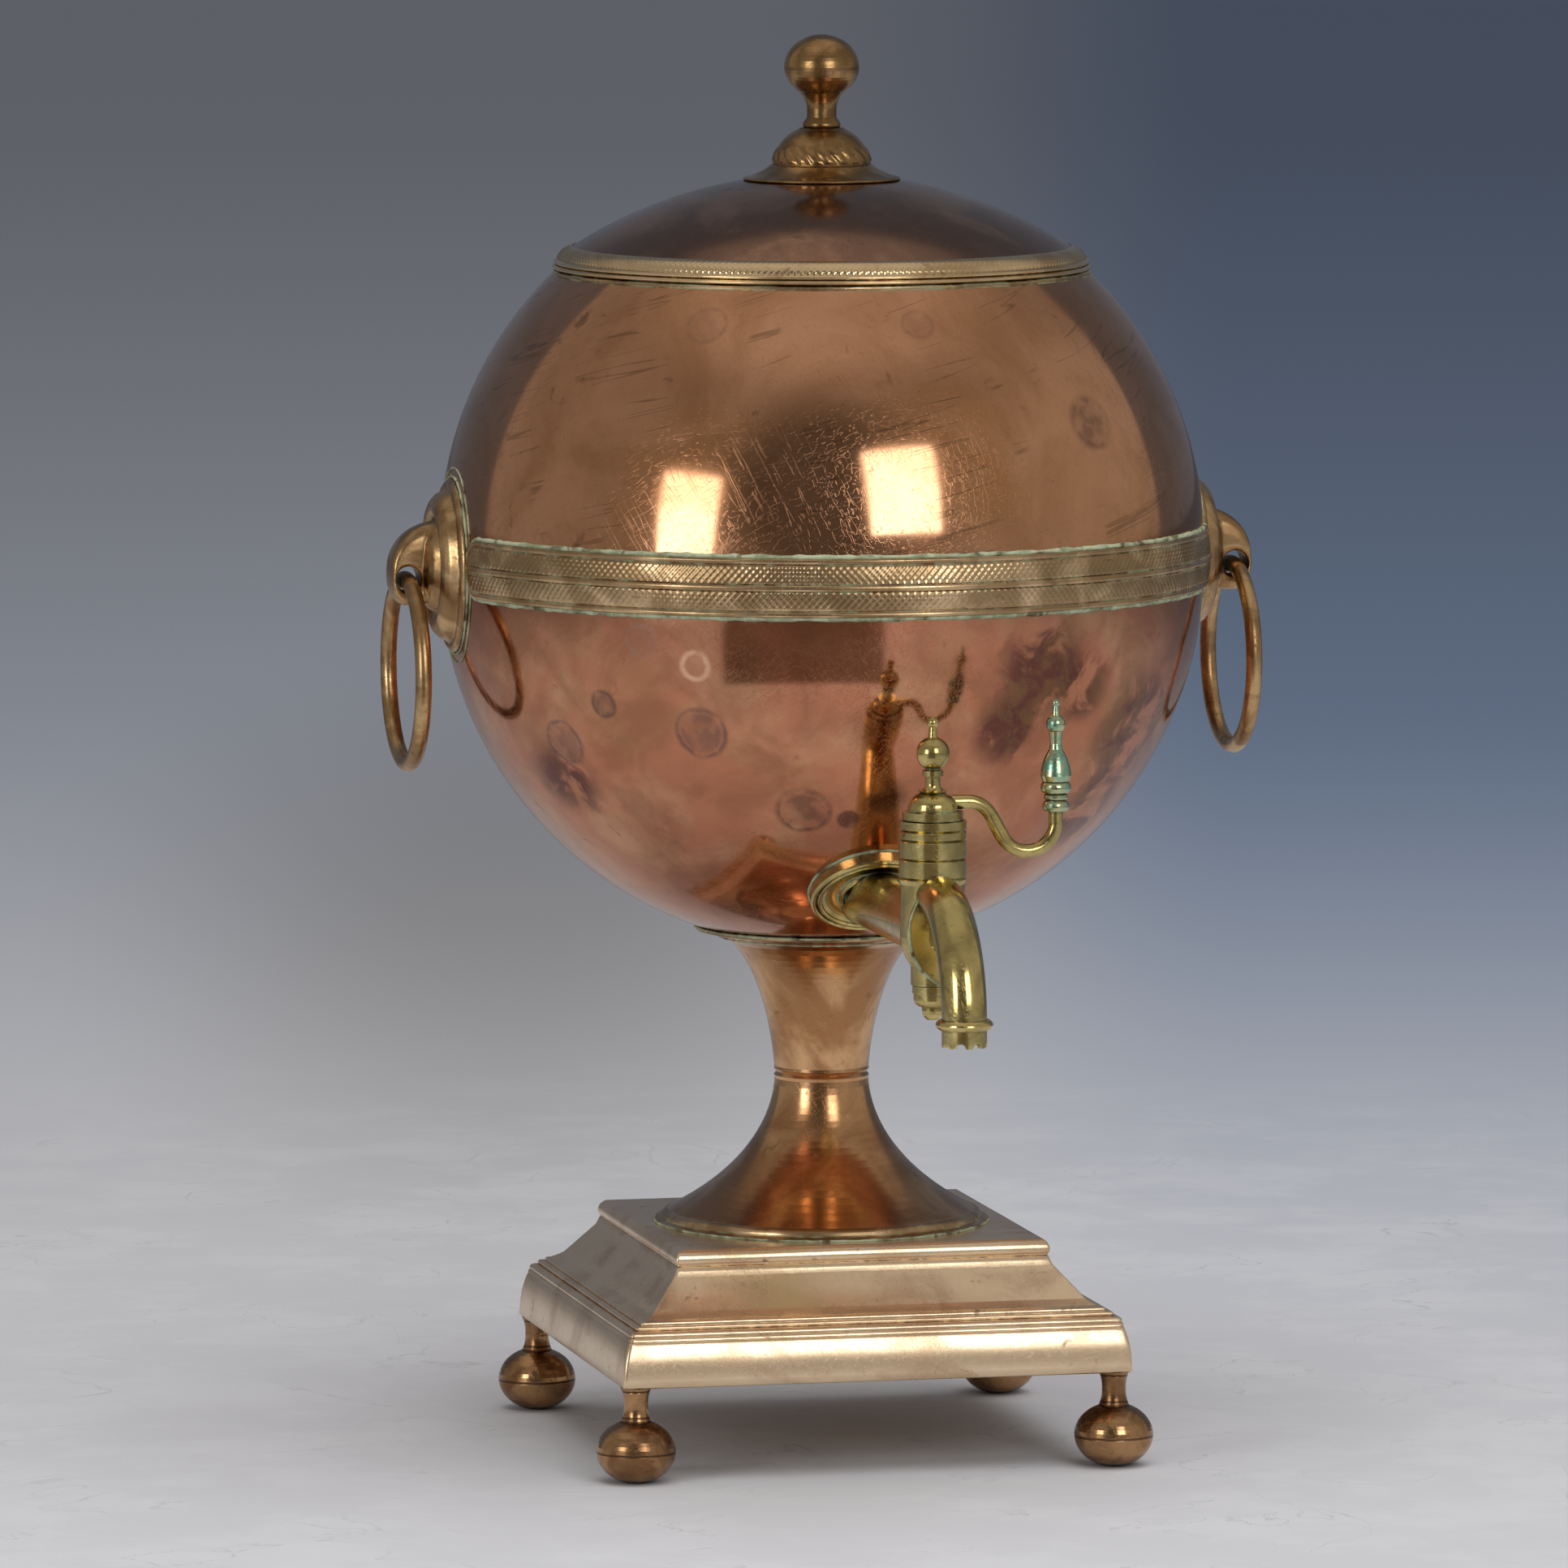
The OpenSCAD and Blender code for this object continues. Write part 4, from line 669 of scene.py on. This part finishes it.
plinthShape = {
    "wall": 1.3, "border": 17.8, "lean": 3.7, "stepHeight": 2.7, "stepWidth": 4.5, "hollow": 16.2, "sag": 2.1,
    "lipWidth": 2.5, "topHalfWidth": 59.5, "rodHole": 3.1, "groove": 0.3, "perSide": 44, "corner": 6,
    "borderCorner": 1.3, "topCorner": 0.8, "innerCorner": 0.6, "wander": 0.13,
}


def plinthProfile(halfWidth, height):
    # from the lower edge up to the top: half width and height
    s = plinthShape
    border, cut, top = s["border"], s["groove"], halfWidth - s["lean"]
    rows = [(halfWidth - 0.5, 0.0), (halfWidth, 0.5)]
    for z in (3.0, 5.5, 8.0, 10.0, 11.8, 13.3, 14.4):
        rows.append((halfWidth - s["lean"] * (z / border) ** 2.4, z))
    edge = rows[-1][0]
    rows += [(edge - cut, 14.7), (edge - 0.1, 15.0), (edge - 0.35, 15.8), (edge - 0.45 - cut, 16.1),
             (edge - 0.5, 16.4)]
    rows += arc(rows[-1], (top - 0.2, border), 0.35, 5)
    rows += [(top - 1.4, border + 0.15), (top - 1.7, border + 0.1)]
    rows += arc((top - 1.7, border + 0.3), (top - 2.0, border + 1.5), 0.35, 5)
    rows.append((top - 3.6, border + 1.45))
    rows += arc((top - 3.7, border + 1.6), (top - s["stepWidth"], border + s["stepHeight"]), 0.45, 5)
    low = (top - s["stepWidth"] - 0.3, border + s["stepHeight"])
    lipWidth = s["topHalfWidth"] + s["lipWidth"]
    high = (lipWidth - 0.4, low[1] + s["hollow"] - 1.2)
    rows += [low] + arc(low, high, -s["sag"], 16)
    rows += [(high[0] - 0.1 - cut, high[1] + 0.3), (high[0] - 0.1, high[1] + 0.6),
             (high[0] - 0.15, high[1] + 1.0)]
    lip = (lipWidth, high[1] + 1.5)
    rows += [lip] + arc(lip, (s["topHalfWidth"] + 0.3, height), 0.8, 8)
    rows.append((s["topHalfWidth"] - 0.6, height))
    return rows


def addPlinth():
    s = plinthShape
    low, high = boxOf("plinth")
    halfWidth, height = high[0], high[2] - low[2]
    wall, border = s["wall"], s["border"]
    outer = plinthProfile(halfWidth, height)
    rows = [(w, z, s["borderCorner"] if z < border else s["topCorner"]) for w, z in outer]
    rows += [(0.0, height, 0.0), (0.0, height - wall, 0.0)]  # the rod's hole in the top
    inner = [(s["topHalfWidth"], height - wall), (s["topHalfWidth"] + s["lipWidth"], height - 6.0),
             (halfWidth - s["lean"] - s["stepWidth"], border + s["stepHeight"] - wall),
             (halfWidth - s["lean"], border - wall), (halfWidth, 0.0)]
    rows += [(w - wall, z, s["innerCorner"]) for w, z in inner]
    columns = []  # the side's turn, how far along the side, how far round its corner
    for side in range(4):
        turn = side * math.pi / 2
        columns += [(turn, -1.0 + 2.0 * i / s["perSide"], None) for i in range(s["perSide"])]
        columns += [(turn, 1.0, math.pi / 2 * i / s["corner"]) for i in range(s["corner"] + 1)]
    vertices = []
    for turn, along, bend in columns:
        for w, z, rounding in rows:
            if w == 0.0:
                x, y, _ = polar(s["rodHole"], turn + along * math.pi / 4, z)
            else:
                flat = w - rounding
                px, py = w, along * flat
                if bend is not None:
                    px, py = flat + rounding * math.cos(bend), flat + rounding * math.sin(bend)
                x = px * math.cos(turn) - py * math.sin(turn)
                y = px * math.sin(turn) + py * math.cos(turn)
                drift = noise.noise(Vector((x, y, z)) * 0.045) * s["wander"]
                drift *= min(1.0, (halfWidth - w) / 4 + 0.3)
                x, y = x * (1 - drift / w), y * (1 - drift / w)
            vertices.append((x, y, low[2] + z))
    piece = addPiece("plinth_case", vertices, loopFaces(len(columns), len(rows)), "urn",
                     metals["plinth_brass"], sharp=50)
    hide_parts("plinth")


def diamond(i, j):
    # height of a diamond-cut pattern at a grid point, from -1 in the cuts to 1 on the points
    wave = (-1.0, 0.0, 1.0, 0.0)
    return (wave[(i + j) % 4] + wave[(i - j) % 4]) / 2


bandShape = {
    "bead": [  # down from the edge, and out over the bowl
        (0.0, 0.35), (0.15, 0.85), (0.5, 1.3), (1.0, 1.45), (1.5, 1.3), (1.85, 1.0), (2.1, 0.9),
    ],
    "ridge": [(1.15, 1.75), (0.95, 2.15), (0.5, 2.42)],  # up from the middle, and out
    "ridgeOut": 2.5, "strip": 1.3, "stripTop": 2.0, "stripCrown": 0.15, "stripFrom": 2.4, "stripTo": 1.4,
    "cut": 0.3, "cell": 0.57, "endSteps": (0.04, 0.2, 0.45), "endRound": 8.0, "endAngle": 11.4,
    "solder": 0.85, "solderOver": 0.25,
}


def bandOutline():
    # rows from the lower edge to the upper one: height, reach over the bowl, whether it is knurled
    s = bandShape
    half = (bandHigh[2] - bandLow[2]) / 2
    rows = [(half - down, out, 0) for down, out in s["bead"]]
    tall = half - s["stripFrom"] - s["stripTo"]
    count = int(tall / s["cell"])
    for i in range(count + 1):
        rise = s["strip"] + (s["stripTop"] - s["strip"]) * i / count
        rise += s["stripCrown"] * math.sin(math.pi * i / count)
        rows.append((half - s["stripFrom"] - i * tall / count, rise, 1))
    rows += [(up, out, 0) for up, out in s["ridge"]]
    return [(-z, out, cut) for z, out, cut in rows] + [(0.0, s["ridgeOut"], 0)] + rows[::-1]


def addBand(node, name, start, end):
    s = bandShape
    length = (end - start) * bowlRadius
    count = int(length / s["cell"])
    steps = list(s["endSteps"]) + [length * i / count for i in range(1, count)]
    steps += [length - v for v in s["endSteps"][::-1]]

    def narrowAt(way):
        # the share of its height that the band keeps near its rounded ends
        near = min(way, length - way, s["endRound"])
        return math.sqrt(1 - (1 - near / s["endRound"]) ** 2)

    outline = bandOutline()
    vertices = []
    for i, way in enumerate(steps):
        a, narrow = start + way / bowlRadius, narrowAt(way)
        depth = s["cut"] * min(1.0, min(way, length - way) / 5)
        for j, (z, out, cut) in enumerate(outline):
            r = bowlRadius + out * min(1.0, 0.45 + narrow * 0.6) + (depth * diamond(i, j) if cut else 0.0)
            vertices.append(polar(r, a, bandMiddle + z * narrow))
        for z in (outline[-1][0], outline[0][0]):
            level = bandMiddle + z * narrow
            vertices.append(polar(ballRadius(level) - 0.1, a, level))
    rows = len(outline) + 2
    faces = loopFaces(len(steps), rows, False)
    faces.append(tuple(range(rows)))
    faces.append(tuple((len(steps) - 1) * rows + j for j in range(rows)))
    piece = addPiece(name, vertices, faces, "urn", metals["old_brass"], sharp=60)
    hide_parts(node)
    half = outline[-1][0] + s["solderOver"]
    path = [(start + way / bowlRadius, half * max(narrowAt(way), 0.02)) for way in steps[::4]]
    points = []
    for a, z in path + [(a, -z) for a, z in path[::-1]]:
        points.append(Vector(polar(ballRadius(bandMiddle + z) + 0.2, a, bandMiddle + z)))
    normals = [Vector((p.x, p.y, 0)).normalized() for p in points]
    solderBead(name + "_solder", points, s["solder"], normals, seed=start)


rimShape = {"cell": 0.52, "cut": 0.22, "beadHigh": 1.5, "beadOut": 0.6, "crown": 0.9}


def addLidRim():
    s = rimShape
    low, high = boxOf("lid_rim")
    bezel, dome = boxOf("lid_bezel")[1][0], boxOf("lid_dome")[1][0]
    top, edge, bead = high[2] - low[2], high[0] - s["beadOut"], s["beadHigh"]
    rows = [(bezel, 0.0), (edge - 0.2, 0.0)]
    rows += arc((edge - 0.1, 0.05), (edge - 0.1, bead), s["beadOut"] + 0.1, 7)
    rows.append((edge - 0.6, bead + 0.15))
    rows += arc((edge - 0.45, bead + 0.2), (edge - 0.6, 2 * bead + 0.1), s["beadOut"] - 0.05, 7)
    rows.append((edge - 1.1, 2 * bead + 0.3))
    inner = dome + 0.05
    first = len(rows)
    rows += arc((edge - 0.95, 2 * bead + 0.5), (inner, top), s["crown"], 13)
    last = len(rows) - 1
    rows += [(inner - 0.1, top - 0.5), (bezel, top - 0.9)]
    columns = int(2 * math.pi * edge / s["cell"] / 4) * 4

    def relief(i, j, a):
        return s["cut"] * diamond(i, j) if first <= j < last else 0.0

    vertices, faces = turned([(r, low[2] + z) for r, z in rows], columns, relief)
    piece = addPiece("lid_rim_hatched", vertices, faces, "lid", rimBrass, sharp=70)
    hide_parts("lid_rim")


finialShape = {
    "leaves": 22, "leafRise": 0.6, "lean": 1.1, "leafLow": 0.34, "leafHigh": 0.66, "tipFrom": 0.6,
    "vein": 0.25, "bore": 2.6, "shoulder": 16.4, "leafFoot": 15.9, "neck": 7.5, "columns": 440,
}


def addFinialFoot():
    s = finialShape
    height, leafFoot = finialTop - finialBase, s["leafFoot"]
    edge = finialEdge - 0.5
    rows = [(edge, finialBase - 0.1)] + arc((edge, finialBase), (edge, finialBase + 1.0), 0.5, 6)
    rows += arc((finialEdge - 1.1, finialBase + 1.05), (s["shoulder"], finialBase + height * 0.3), -0.5, 12)
    rows += [(leafFoot, finialBase + height * 0.31), (leafFoot, finialBase + height * 0.33)]
    rows += arc(rows[-1], (s["neck"], finialTop - 0.4), 1.9, 34)
    rows += [(s["neck"] - 0.3, finialTop), (s["bore"], finialTop)]
    for r in (s["bore"], 6.0, 12.0, 18.0, 22.0, finialEdge - 1.0):  # the underside follows the dome
        rows.append((r, domeMiddle + math.sqrt(urn["domeRadius"] ** 2 - r ** 2) - 0.02))

    def relief(i, j, a):
        r, z = rows[j]
        share = ((z - finialBase) / height - s["leafLow"]) / (s["leafHigh"] - s["leafLow"])
        if r < s["neck"] or not 0.0 < share < 1.0:
            return 0.0
        phase = (s["leaves"] * a / (2 * math.pi) + s["lean"] * share) % 1.0
        off = abs(2 * phase - 1)  # 0 on a leaf's middle, 1 between leaves
        tip = 1.0
        if share >= s["tipFrom"]:
            tip = max(0.0, 1 - ((share - s["tipFrom"]) / (1 - s["tipFrom"])) ** 2 - 0.5 * off)
        vein = s["vein"] if off < 0.12 else 0.0
        return s["leafRise"] * (1 - off ** 1.4 - vein) * tip * min(1.0, share * 8)

    vertices, faces = turned(rows, s["columns"], relief)
    piece = addPiece("finial_foot_leaved", vertices, faces, "lid", metals["finial_bronze"],
                     sharp=65)
    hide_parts("finial_foot")


plateShape = {
    "halfWidth": 24.0, "halfHeight": 28.2, "drop": 1.3, "holeRadius": 4.1, "holeX": 138.0, "holeDrop": 5.1,
    "thick": 13.0, "spokes": 96,
    "swell": [  # share of the oval's reach, and how far the casting stands over the bowl there
        (1.0, 0.3), (0.99, 1.2), (0.96, 1.8), (0.92, 1.9), (0.895, 1.3), (0.87, 2.4), (0.83, 4.2),
        (0.77, 5.6), (0.70, 6.2), (0.63, 5.8), (0.585, 4.6), (0.555, 3.8), (0.525, 5.2), (0.48, 6.9),
        (0.40, 8.1), (0.28, 8.8), (0.14, 9.1),
    ],
    "nose": [  # from the hole's centre: outwards and up
        (5.3, 8.2), (5.7, 1.5), (5.2, -5.1), (1.5, -9.3), (-7.2, -8.4), (-15.0, -7.5), (-16.0, 5.0),
        (-15.0, 18.0), (-7.2, 18.6), (0.8, 14.9),
    ],
    "noseEdge": [  # share of the way out from the hole, and of half the thickness
        (0.0, -0.86), (0.12, -0.97), (0.4, -1.0), (0.7, -0.95), (0.88, -0.8), (0.97, -0.55), (1.0, -0.25),
    ],
    "grain": 0.4,
    "solder": [(1.02, 0.5), (1.12, 0.3)],  # share of the oval's reach, and radius of the bead
}


def roundedLoop(points, passes):
    # cuts the corners of a closed outline
    for _ in range(passes):
        cut = []
        for i, p in enumerate(points):
            q = points[(i + 1) % len(points)]
            cut.append((p[0] * 0.75 + q[0] * 0.25, p[1] * 0.75 + q[1] * 0.25))
            cut.append((p[0] * 0.25 + q[0] * 0.75, p[1] * 0.25 + q[1] * 0.75))
        points = cut
    return points


def addHandlePlate(side, node):
    s = plateShape
    spokes = s["spokes"]
    middle = bandMiddle - s["drop"]

    def oval(share, lift, count):
        # points over the bowl at a share of the plate's oval
        wide, tall = s["halfWidth"] * share, s["halfHeight"] * share
        return [onBowl(wide * math.cos(a), middle + tall * math.sin(a), side, lift) for a in anglesOf(count)]

    vertices = []
    for share, lift in s["swell"]:
        vertices += oval(share, lift, spokes)
    back = len(vertices)
    faces = ringFaces(0, len(s["swell"]), spokes)
    faces.append(tuple(range(back - spokes, back)))
    for share in (1.0, 0.7, 0.35):
        vertices += oval(share, -0.05, spokes)
    first = len(vertices)
    faces += ringFaces(back, 3, spokes, flip=True)
    faces.append(tuple(range(first - spokes, first)))
    for i in range(spokes):
        k = (i + 1) % spokes
        faces.append((i, back + i, back + k, k))
    holeZ, hole = bandMiddle - s["holeDrop"], s["holeRadius"] + 0.1
    outline = roundedLoop(s["nose"], 3)
    section = s["noseEdge"] + [(share, -y) for share, y in s["noseEdge"][::-1]]
    for dx, dz in outline:
        away = math.hypot(dx, dz)
        for share, y in section:
            reach = hole + (away - hole) * share
            vertices.append(Vector((side * (s["holeX"] + dx / away * reach), y * s["thick"] / 2,
                                    holeZ + dz / away * reach)))
    faces += [tuple(first + v for v in f) for f in loopFaces(len(outline), len(section))]
    piece = addPiece("plate_cast_" + ("left" if side < 0 else "right"), vertices, faces, "urn",
                     metals["handle_bronze"])
    remesh = piece.modifiers.new("castSkin", "REMESH")
    remesh.mode = "VOXEL"
    remesh.voxel_size = s["grain"] * mm
    remesh.use_smooth_shade = True
    soften = piece.modifiers.new("castSoften", "SMOOTH")
    soften.factor = 0.5
    soften.iterations = 5
    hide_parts(node)
    for n, (share, radius) in enumerate(s["solder"]):
        points = oval(share, 0.1, 120)
        normals = [Vector((p.x, p.y, p.z - bowlMiddle)).normalized() for p in points]
        solderBead(piece.name + "_solder_%d" % (n + 1), points, radius, normals, seed=side + n)


solderShape = {
    "pedestal": 0.5, "seat": 0.45, "seatFoot": 0.35, "seatFootRadius": 33.9,
    "flangeDrop": 98.2, "flangeRadius": 21.1, "flange": 0.55, "bossRadius": 12.1, "bossLift": 1.0, "boss": 0.4,
}


def addSolderRings():
    s = solderShape
    pedestal, seat = boxOf("pedestal_ring"), boxOf("bowl_seat")
    for name, r, z, radius in (
            ("pedestal_solder", pedestal[1][0] + 0.1, pedestal[0][2] + 0.2, s["pedestal"]),
            ("seat_solder", seat[1][0] + 0.1, seat[1][2] - 0.2, s["seat"]),
            ("seat_foot_solder", s["seatFootRadius"], seat[0][2] + 0.1, s["seatFoot"])):
        points = [Vector(polar(r, a, z)) for a in anglesOf(200)]
        solderBead(name, points, radius, seed=z)
    slant = math.asin(s["flangeDrop"] / bowlRadius)
    axis = Vector((0, -math.cos(slant), -math.sin(slant)))
    side = Vector((1, 0, 0))
    up = side.cross(axis)
    for name, r, away, radius, count, seed in (
            ("flange_solder", s["flangeRadius"], math.sqrt(bowlRadius ** 2 - s["flangeRadius"] ** 2),
             s["flange"], 110, 4.0),
            ("boss_solder", s["bossRadius"], bowlRadius + s["bossLift"], s["boss"], 80, 6.0)):
        centre = Vector((0, 0, bowlMiddle)) + axis * away
        points = [centre + (side * math.cos(a) + up * math.sin(a)) * r for a in anglesOf(count)]
        solderBead(name, points, radius, [axis] * count, seed)


shieldShape = {"halfWidth": 9.9, "halfHeight": 16.4, "face": 9.7, "drop": 0.8, "inletDrop": 101.0, "bead": 0.5}


def addShieldBead():
    # the rim round the pointed oval shield on the barrel's front
    s = shieldShape
    reach = (s["halfHeight"] ** 2 + s["halfWidth"] ** 2) / (2 * s["halfWidth"])
    spread = math.asin(s["halfHeight"] / reach)
    middle = bowlMiddle - s["inletDrop"] - s["drop"]
    steps = 24
    points = []
    for side in (1, -1):
        for i in range(steps):
            a = side * (-spread + 2 * spread * i / steps)
            x = side * (s["halfWidth"] - reach + reach * math.cos(a))
            points.append(Vector((x, barrelY - s["face"], middle + reach * math.sin(a))))
    solderBead("shield_rim", points, s["bead"], [Vector((0, -1, 0))] * len(points), seed=8.0)


addPlinth()
endAngle = math.radians(bandShape["endAngle"])
addBand("band_back", "band_knurled_back", endAngle, math.pi - endAngle)
addBand("band_front", "band_knurled_front", math.pi + endAngle, 2 * math.pi - endAngle)
addLidRim()
addFinialFoot()
addHandlePlate(-1, "handle_plate_left")
addHandlePlate(1, "handle_plate_right")
addSolderRings()
addShieldBead()
print("pieces made")

view = {"place": (-0.9117, -3.9886, 0.6471), "pitch": 83.975, "turn": -12.704, "lens": 289.3}


def addCamera():
    data = bpy.data.cameras.new("camera")
    data.lens = view["lens"]
    data.sensor_width = 36.0
    data.clip_end = 60.0
    camera = newObject("camera", data)
    camera.location = view["place"]
    camera.rotation_euler = (math.radians(view["pitch"]), 0.0, math.radians(view["turn"]))
    bpy.context.scene.camera = camera


ground = {  # lengths in metres
    "radius": 12.0, "rings": 90, "spokes": 120,
    "sideways": (0.975, -0.22, 0.0), "backwards": (0.22, 0.975, 0.0),
    "near": colour(0.605, 0.61, 0.64), "middle": colour(0.42, 0.46, 0.54), "far": colour(0.30, 0.33, 0.40),
    "coolTint": colour(0.46, 0.58, 0.76), "softShade": colour(0.70, 0.68, 0.65),
    "paleFleck": colour(0.80, 0.81, 0.83), "hairline": colour(0.22, 0.23, 0.25),
    "tableEdge": 0.55, "darkTurn": 0.11, "darkHalf": 0.41, "beyondTable": colour(0.17, 0.145, 0.13),
}


def paintFloor():
    s = ground
    material, tree, place = newMaterial("floorPaint")
    away = measure(tree, "LENGTH", place)
    base = mixColour(tree, ramp(tree, away, 0.1, 2.6), s["near"], s["middle"])
    base = mixColour(tree, ramp(tree, away, 1.6, 9.0), base, s["far"])
    across = measure(tree, "DOT_PRODUCT", place, s["sideways"])
    back = measure(tree, "DOT_PRODUCT", place, s["backwards"])
    # painted shade: darker and cooler towards the right and the back
    fan = maths(tree, "DIVIDE", across, maths(tree, "MAXIMUM", plus(tree, back, 4.0), 0.5))
    coolShade = times(tree, ramp(tree, fan, -0.004, 0.036), ramp(tree, back, -0.4, 2.6))
    base = mixColour(tree, coolShade, base, s["coolTint"], "MULTIPLY")
    # a soft shade behind the urn
    left = maths(tree, "DIVIDE", plus(tree, fan, 0.024), 0.036)
    behind = maths(tree, "DIVIDE", minus(tree, back, 1.5), 1.2)
    shade = measure(tree, "LENGTH", join(tree, left, behind))
    base = mixColour(tree, ramp(tree, shade, 0.1, 1.2, 1.0, 0.0), base, s["softShade"], "MULTIPLY")
    # pale flecks and hairlines close to the urn
    mottle = noiseAt(tree, place, 13.0, 9.0, 0.7)
    close = ramp(tree, away, 0.5, 1.1, 1.0, 0.0)
    base = mixColour(tree, times(tree, ramp(tree, mottle, 0.42, 0.62, 0.0, 0.2), close), base, s["paleFleck"])
    vein = apart(tree, noiseAt(tree, place, 7.0, 6.0, distortion=1.6), 0.5)
    crack = times(tree, ramp(tree, vein, 0.0, 0.007, 0.3, 0.0), ramp(tree, mottle, 0.45, 0.6))
    base = mixColour(tree, times(tree, crack, close), base, s["hairline"])
    # painted reflection and shade: on glossy rays alone the floor turns dark, so polished metal sees something
    # dark in front of the table, and less light behind the urn
    edge = ramp(tree, away, s["tableEdge"], s["tableEdge"] + 0.02)
    front = times(tree, ramp(tree, back, -0.05, -0.2), edge)
    turn = maths(tree, "DIVIDE", across, maths(tree, "MAXIMUM", times(tree, back, -1.0), 0.05))
    beside = maths(tree, "ABSOLUTE", plus(tree, turn, s["darkTurn"]))
    beside = minus(tree, beside, s["darkHalf"])
    darkReflectionMask = times(tree, front, ramp(tree, beside, 0.0, 0.05, 1.0, 0.0))
    darkReflectionMask = maths(tree, "MAXIMUM", darkReflectionMask, ramp(tree, back, 0.15, 1.1, 0.0, 0.5))
    glossy = put(tree, "ShaderNodeLightPath").outputs["Is Glossy Ray"]
    base = mixColour(tree, times(tree, darkReflectionMask, glossy), base, s["beyondTable"])
    lay(tree, {"Base Color": base, "Roughness": 0.75, "Specular IOR Level": 0.2})
    return material


def addFloor():
    s = ground
    vertices = [(0.0, 0.0, 0.0)]
    for i in range(1, s["rings"] + 1):
        r = s["radius"] * (i / s["rings"]) ** 2
        vertices += [polar(r, a, 0.0) for a in anglesOf(s["spokes"])]
    faces = [(0, 1 + j, 1 + (j + 1) % s["spokes"]) for j in range(s["spokes"])]
    faces += ringFaces(1, s["rings"], s["spokes"], flip=True)
    mesh = bpy.data.meshes.new("floor")
    mesh.from_pydata(vertices, [], faces)
    mesh.materials.append(paintFloor())
    floor = newObject("floor", mesh)


def towards(azimuth, elevation):
    a, e = math.radians(azimuth), math.radians(elevation)
    return Vector((math.sin(a) * math.cos(e), -math.cos(a) * math.cos(e), math.sin(e)))


lamps = [  # name, azimuth, elevation, distance, width, height, power, whether shiny metal shows it
    ("windowLeft", -53.0, 11.5, 2.0, 0.62, 0.80, 6.8, True),
    ("windowRight", 12.0, 19.5, 2.0, 0.74, 0.86, 8.4, True),
    ("skyFill", 20.0, 74.0, 2.8, 3.0, 3.0, 62.0, False),
]


def addLamps():
    middle = Vector((0.0, 0.0, 0.29))
    for name, azimuth, elevation, distance, width, height, power, shown in lamps:
        data = bpy.data.lights.new(name, "AREA")
        data.shape = "RECTANGLE"
        data.size = width
        data.size_y = height
        data.energy = power
        lamp = newObject(name, data)
        lamp.location = middle + towards(azimuth, elevation) * distance
        lamp.rotation_euler = (lamp.location - middle).to_track_quat("Z", "Y").to_euler()
        lamp.visible_camera = False
        lamp.visible_glossy = shown


room = {
    "wall": colour(0.31, 0.29, 0.27), "rightWall": colour(0.42, 0.40, 0.375),
    "ceiling": colour(0.51, 0.48, 0.455), "dusk": colour(0.105, 0.10, 0.095),
    "backdrop": colour(0.125, 0.14, 0.17), "fringe": colour(0.44, 0.42, 0.40),
    "places": {  # azimuth, elevation, and the angles at which a tone starts and stops fading
        "rightWall": (70, 8, 25.0, 58.0), "ceiling": (0, 90, 24.0, 46.0), "dusk": (-14, 20, 17.0, 37.0),
        "fringe": (168, -2, 62.5, 64.0), "leftSide": (-84, 18, 30.0, 52.0), "backdrop": (168, -2, 57.0, 58.0),
    },
}


def makePatch():
    # how near a direction lies to another one, from 1 to 0 between two angles
    tree, given, result = effect(
        "skyPatch", "Mask", {"Direction": None, "Centre": None, "Inner": 20.0, "Outer": 30.0})
    dot = measure(tree, "DOT_PRODUCT", given["Direction"], given["Centre"])
    angle = maths(tree, "DEGREES", maths(tree, "ARCCOSINE", dot))
    tree.links.new(ramp(tree, angle, given["Inner"], given["Outer"], 1.0, 0.0), result)
    return tree


def addRoom():
    s = room
    world = bpy.data.worlds.new("room")
    bpy.context.scene.world = world
    world.use_nodes = True
    tree = world.node_tree
    tree.nodes.clear()
    patch = makePatch()
    direction = put(tree, "ShaderNodeTexCoord").outputs["Generated"]
    masks = {}
    for name, (azimuth, elevation, inner, outer) in s["places"].items():
        centre = towards(azimuth, elevation)
        masks[name] = use(tree, patch, direction=direction, centre=centre, inner=inner, outer=outer)
    masks["fringe"] = times(tree, masks["fringe"], masks["leftSide"])  # a pale edge on the left side alone
    tone = s["wall"]
    for name in ("rightWall", "ceiling", "dusk", "fringe", "backdrop"):
        tone = mixColour(tree, masks[name], tone, s[name])
    glow = put(tree, "ShaderNodeBackground", {"Color": tone, "Strength": 1.0})
    put(tree, "ShaderNodeOutputWorld", {"Surface": glow.outputs[0]})


addCamera()
addFloor()
addLamps()
addRoom()
bpy.context.scene.view_settings.view_transform = "Standard"
print("camera, floor and light placed")

print("done")
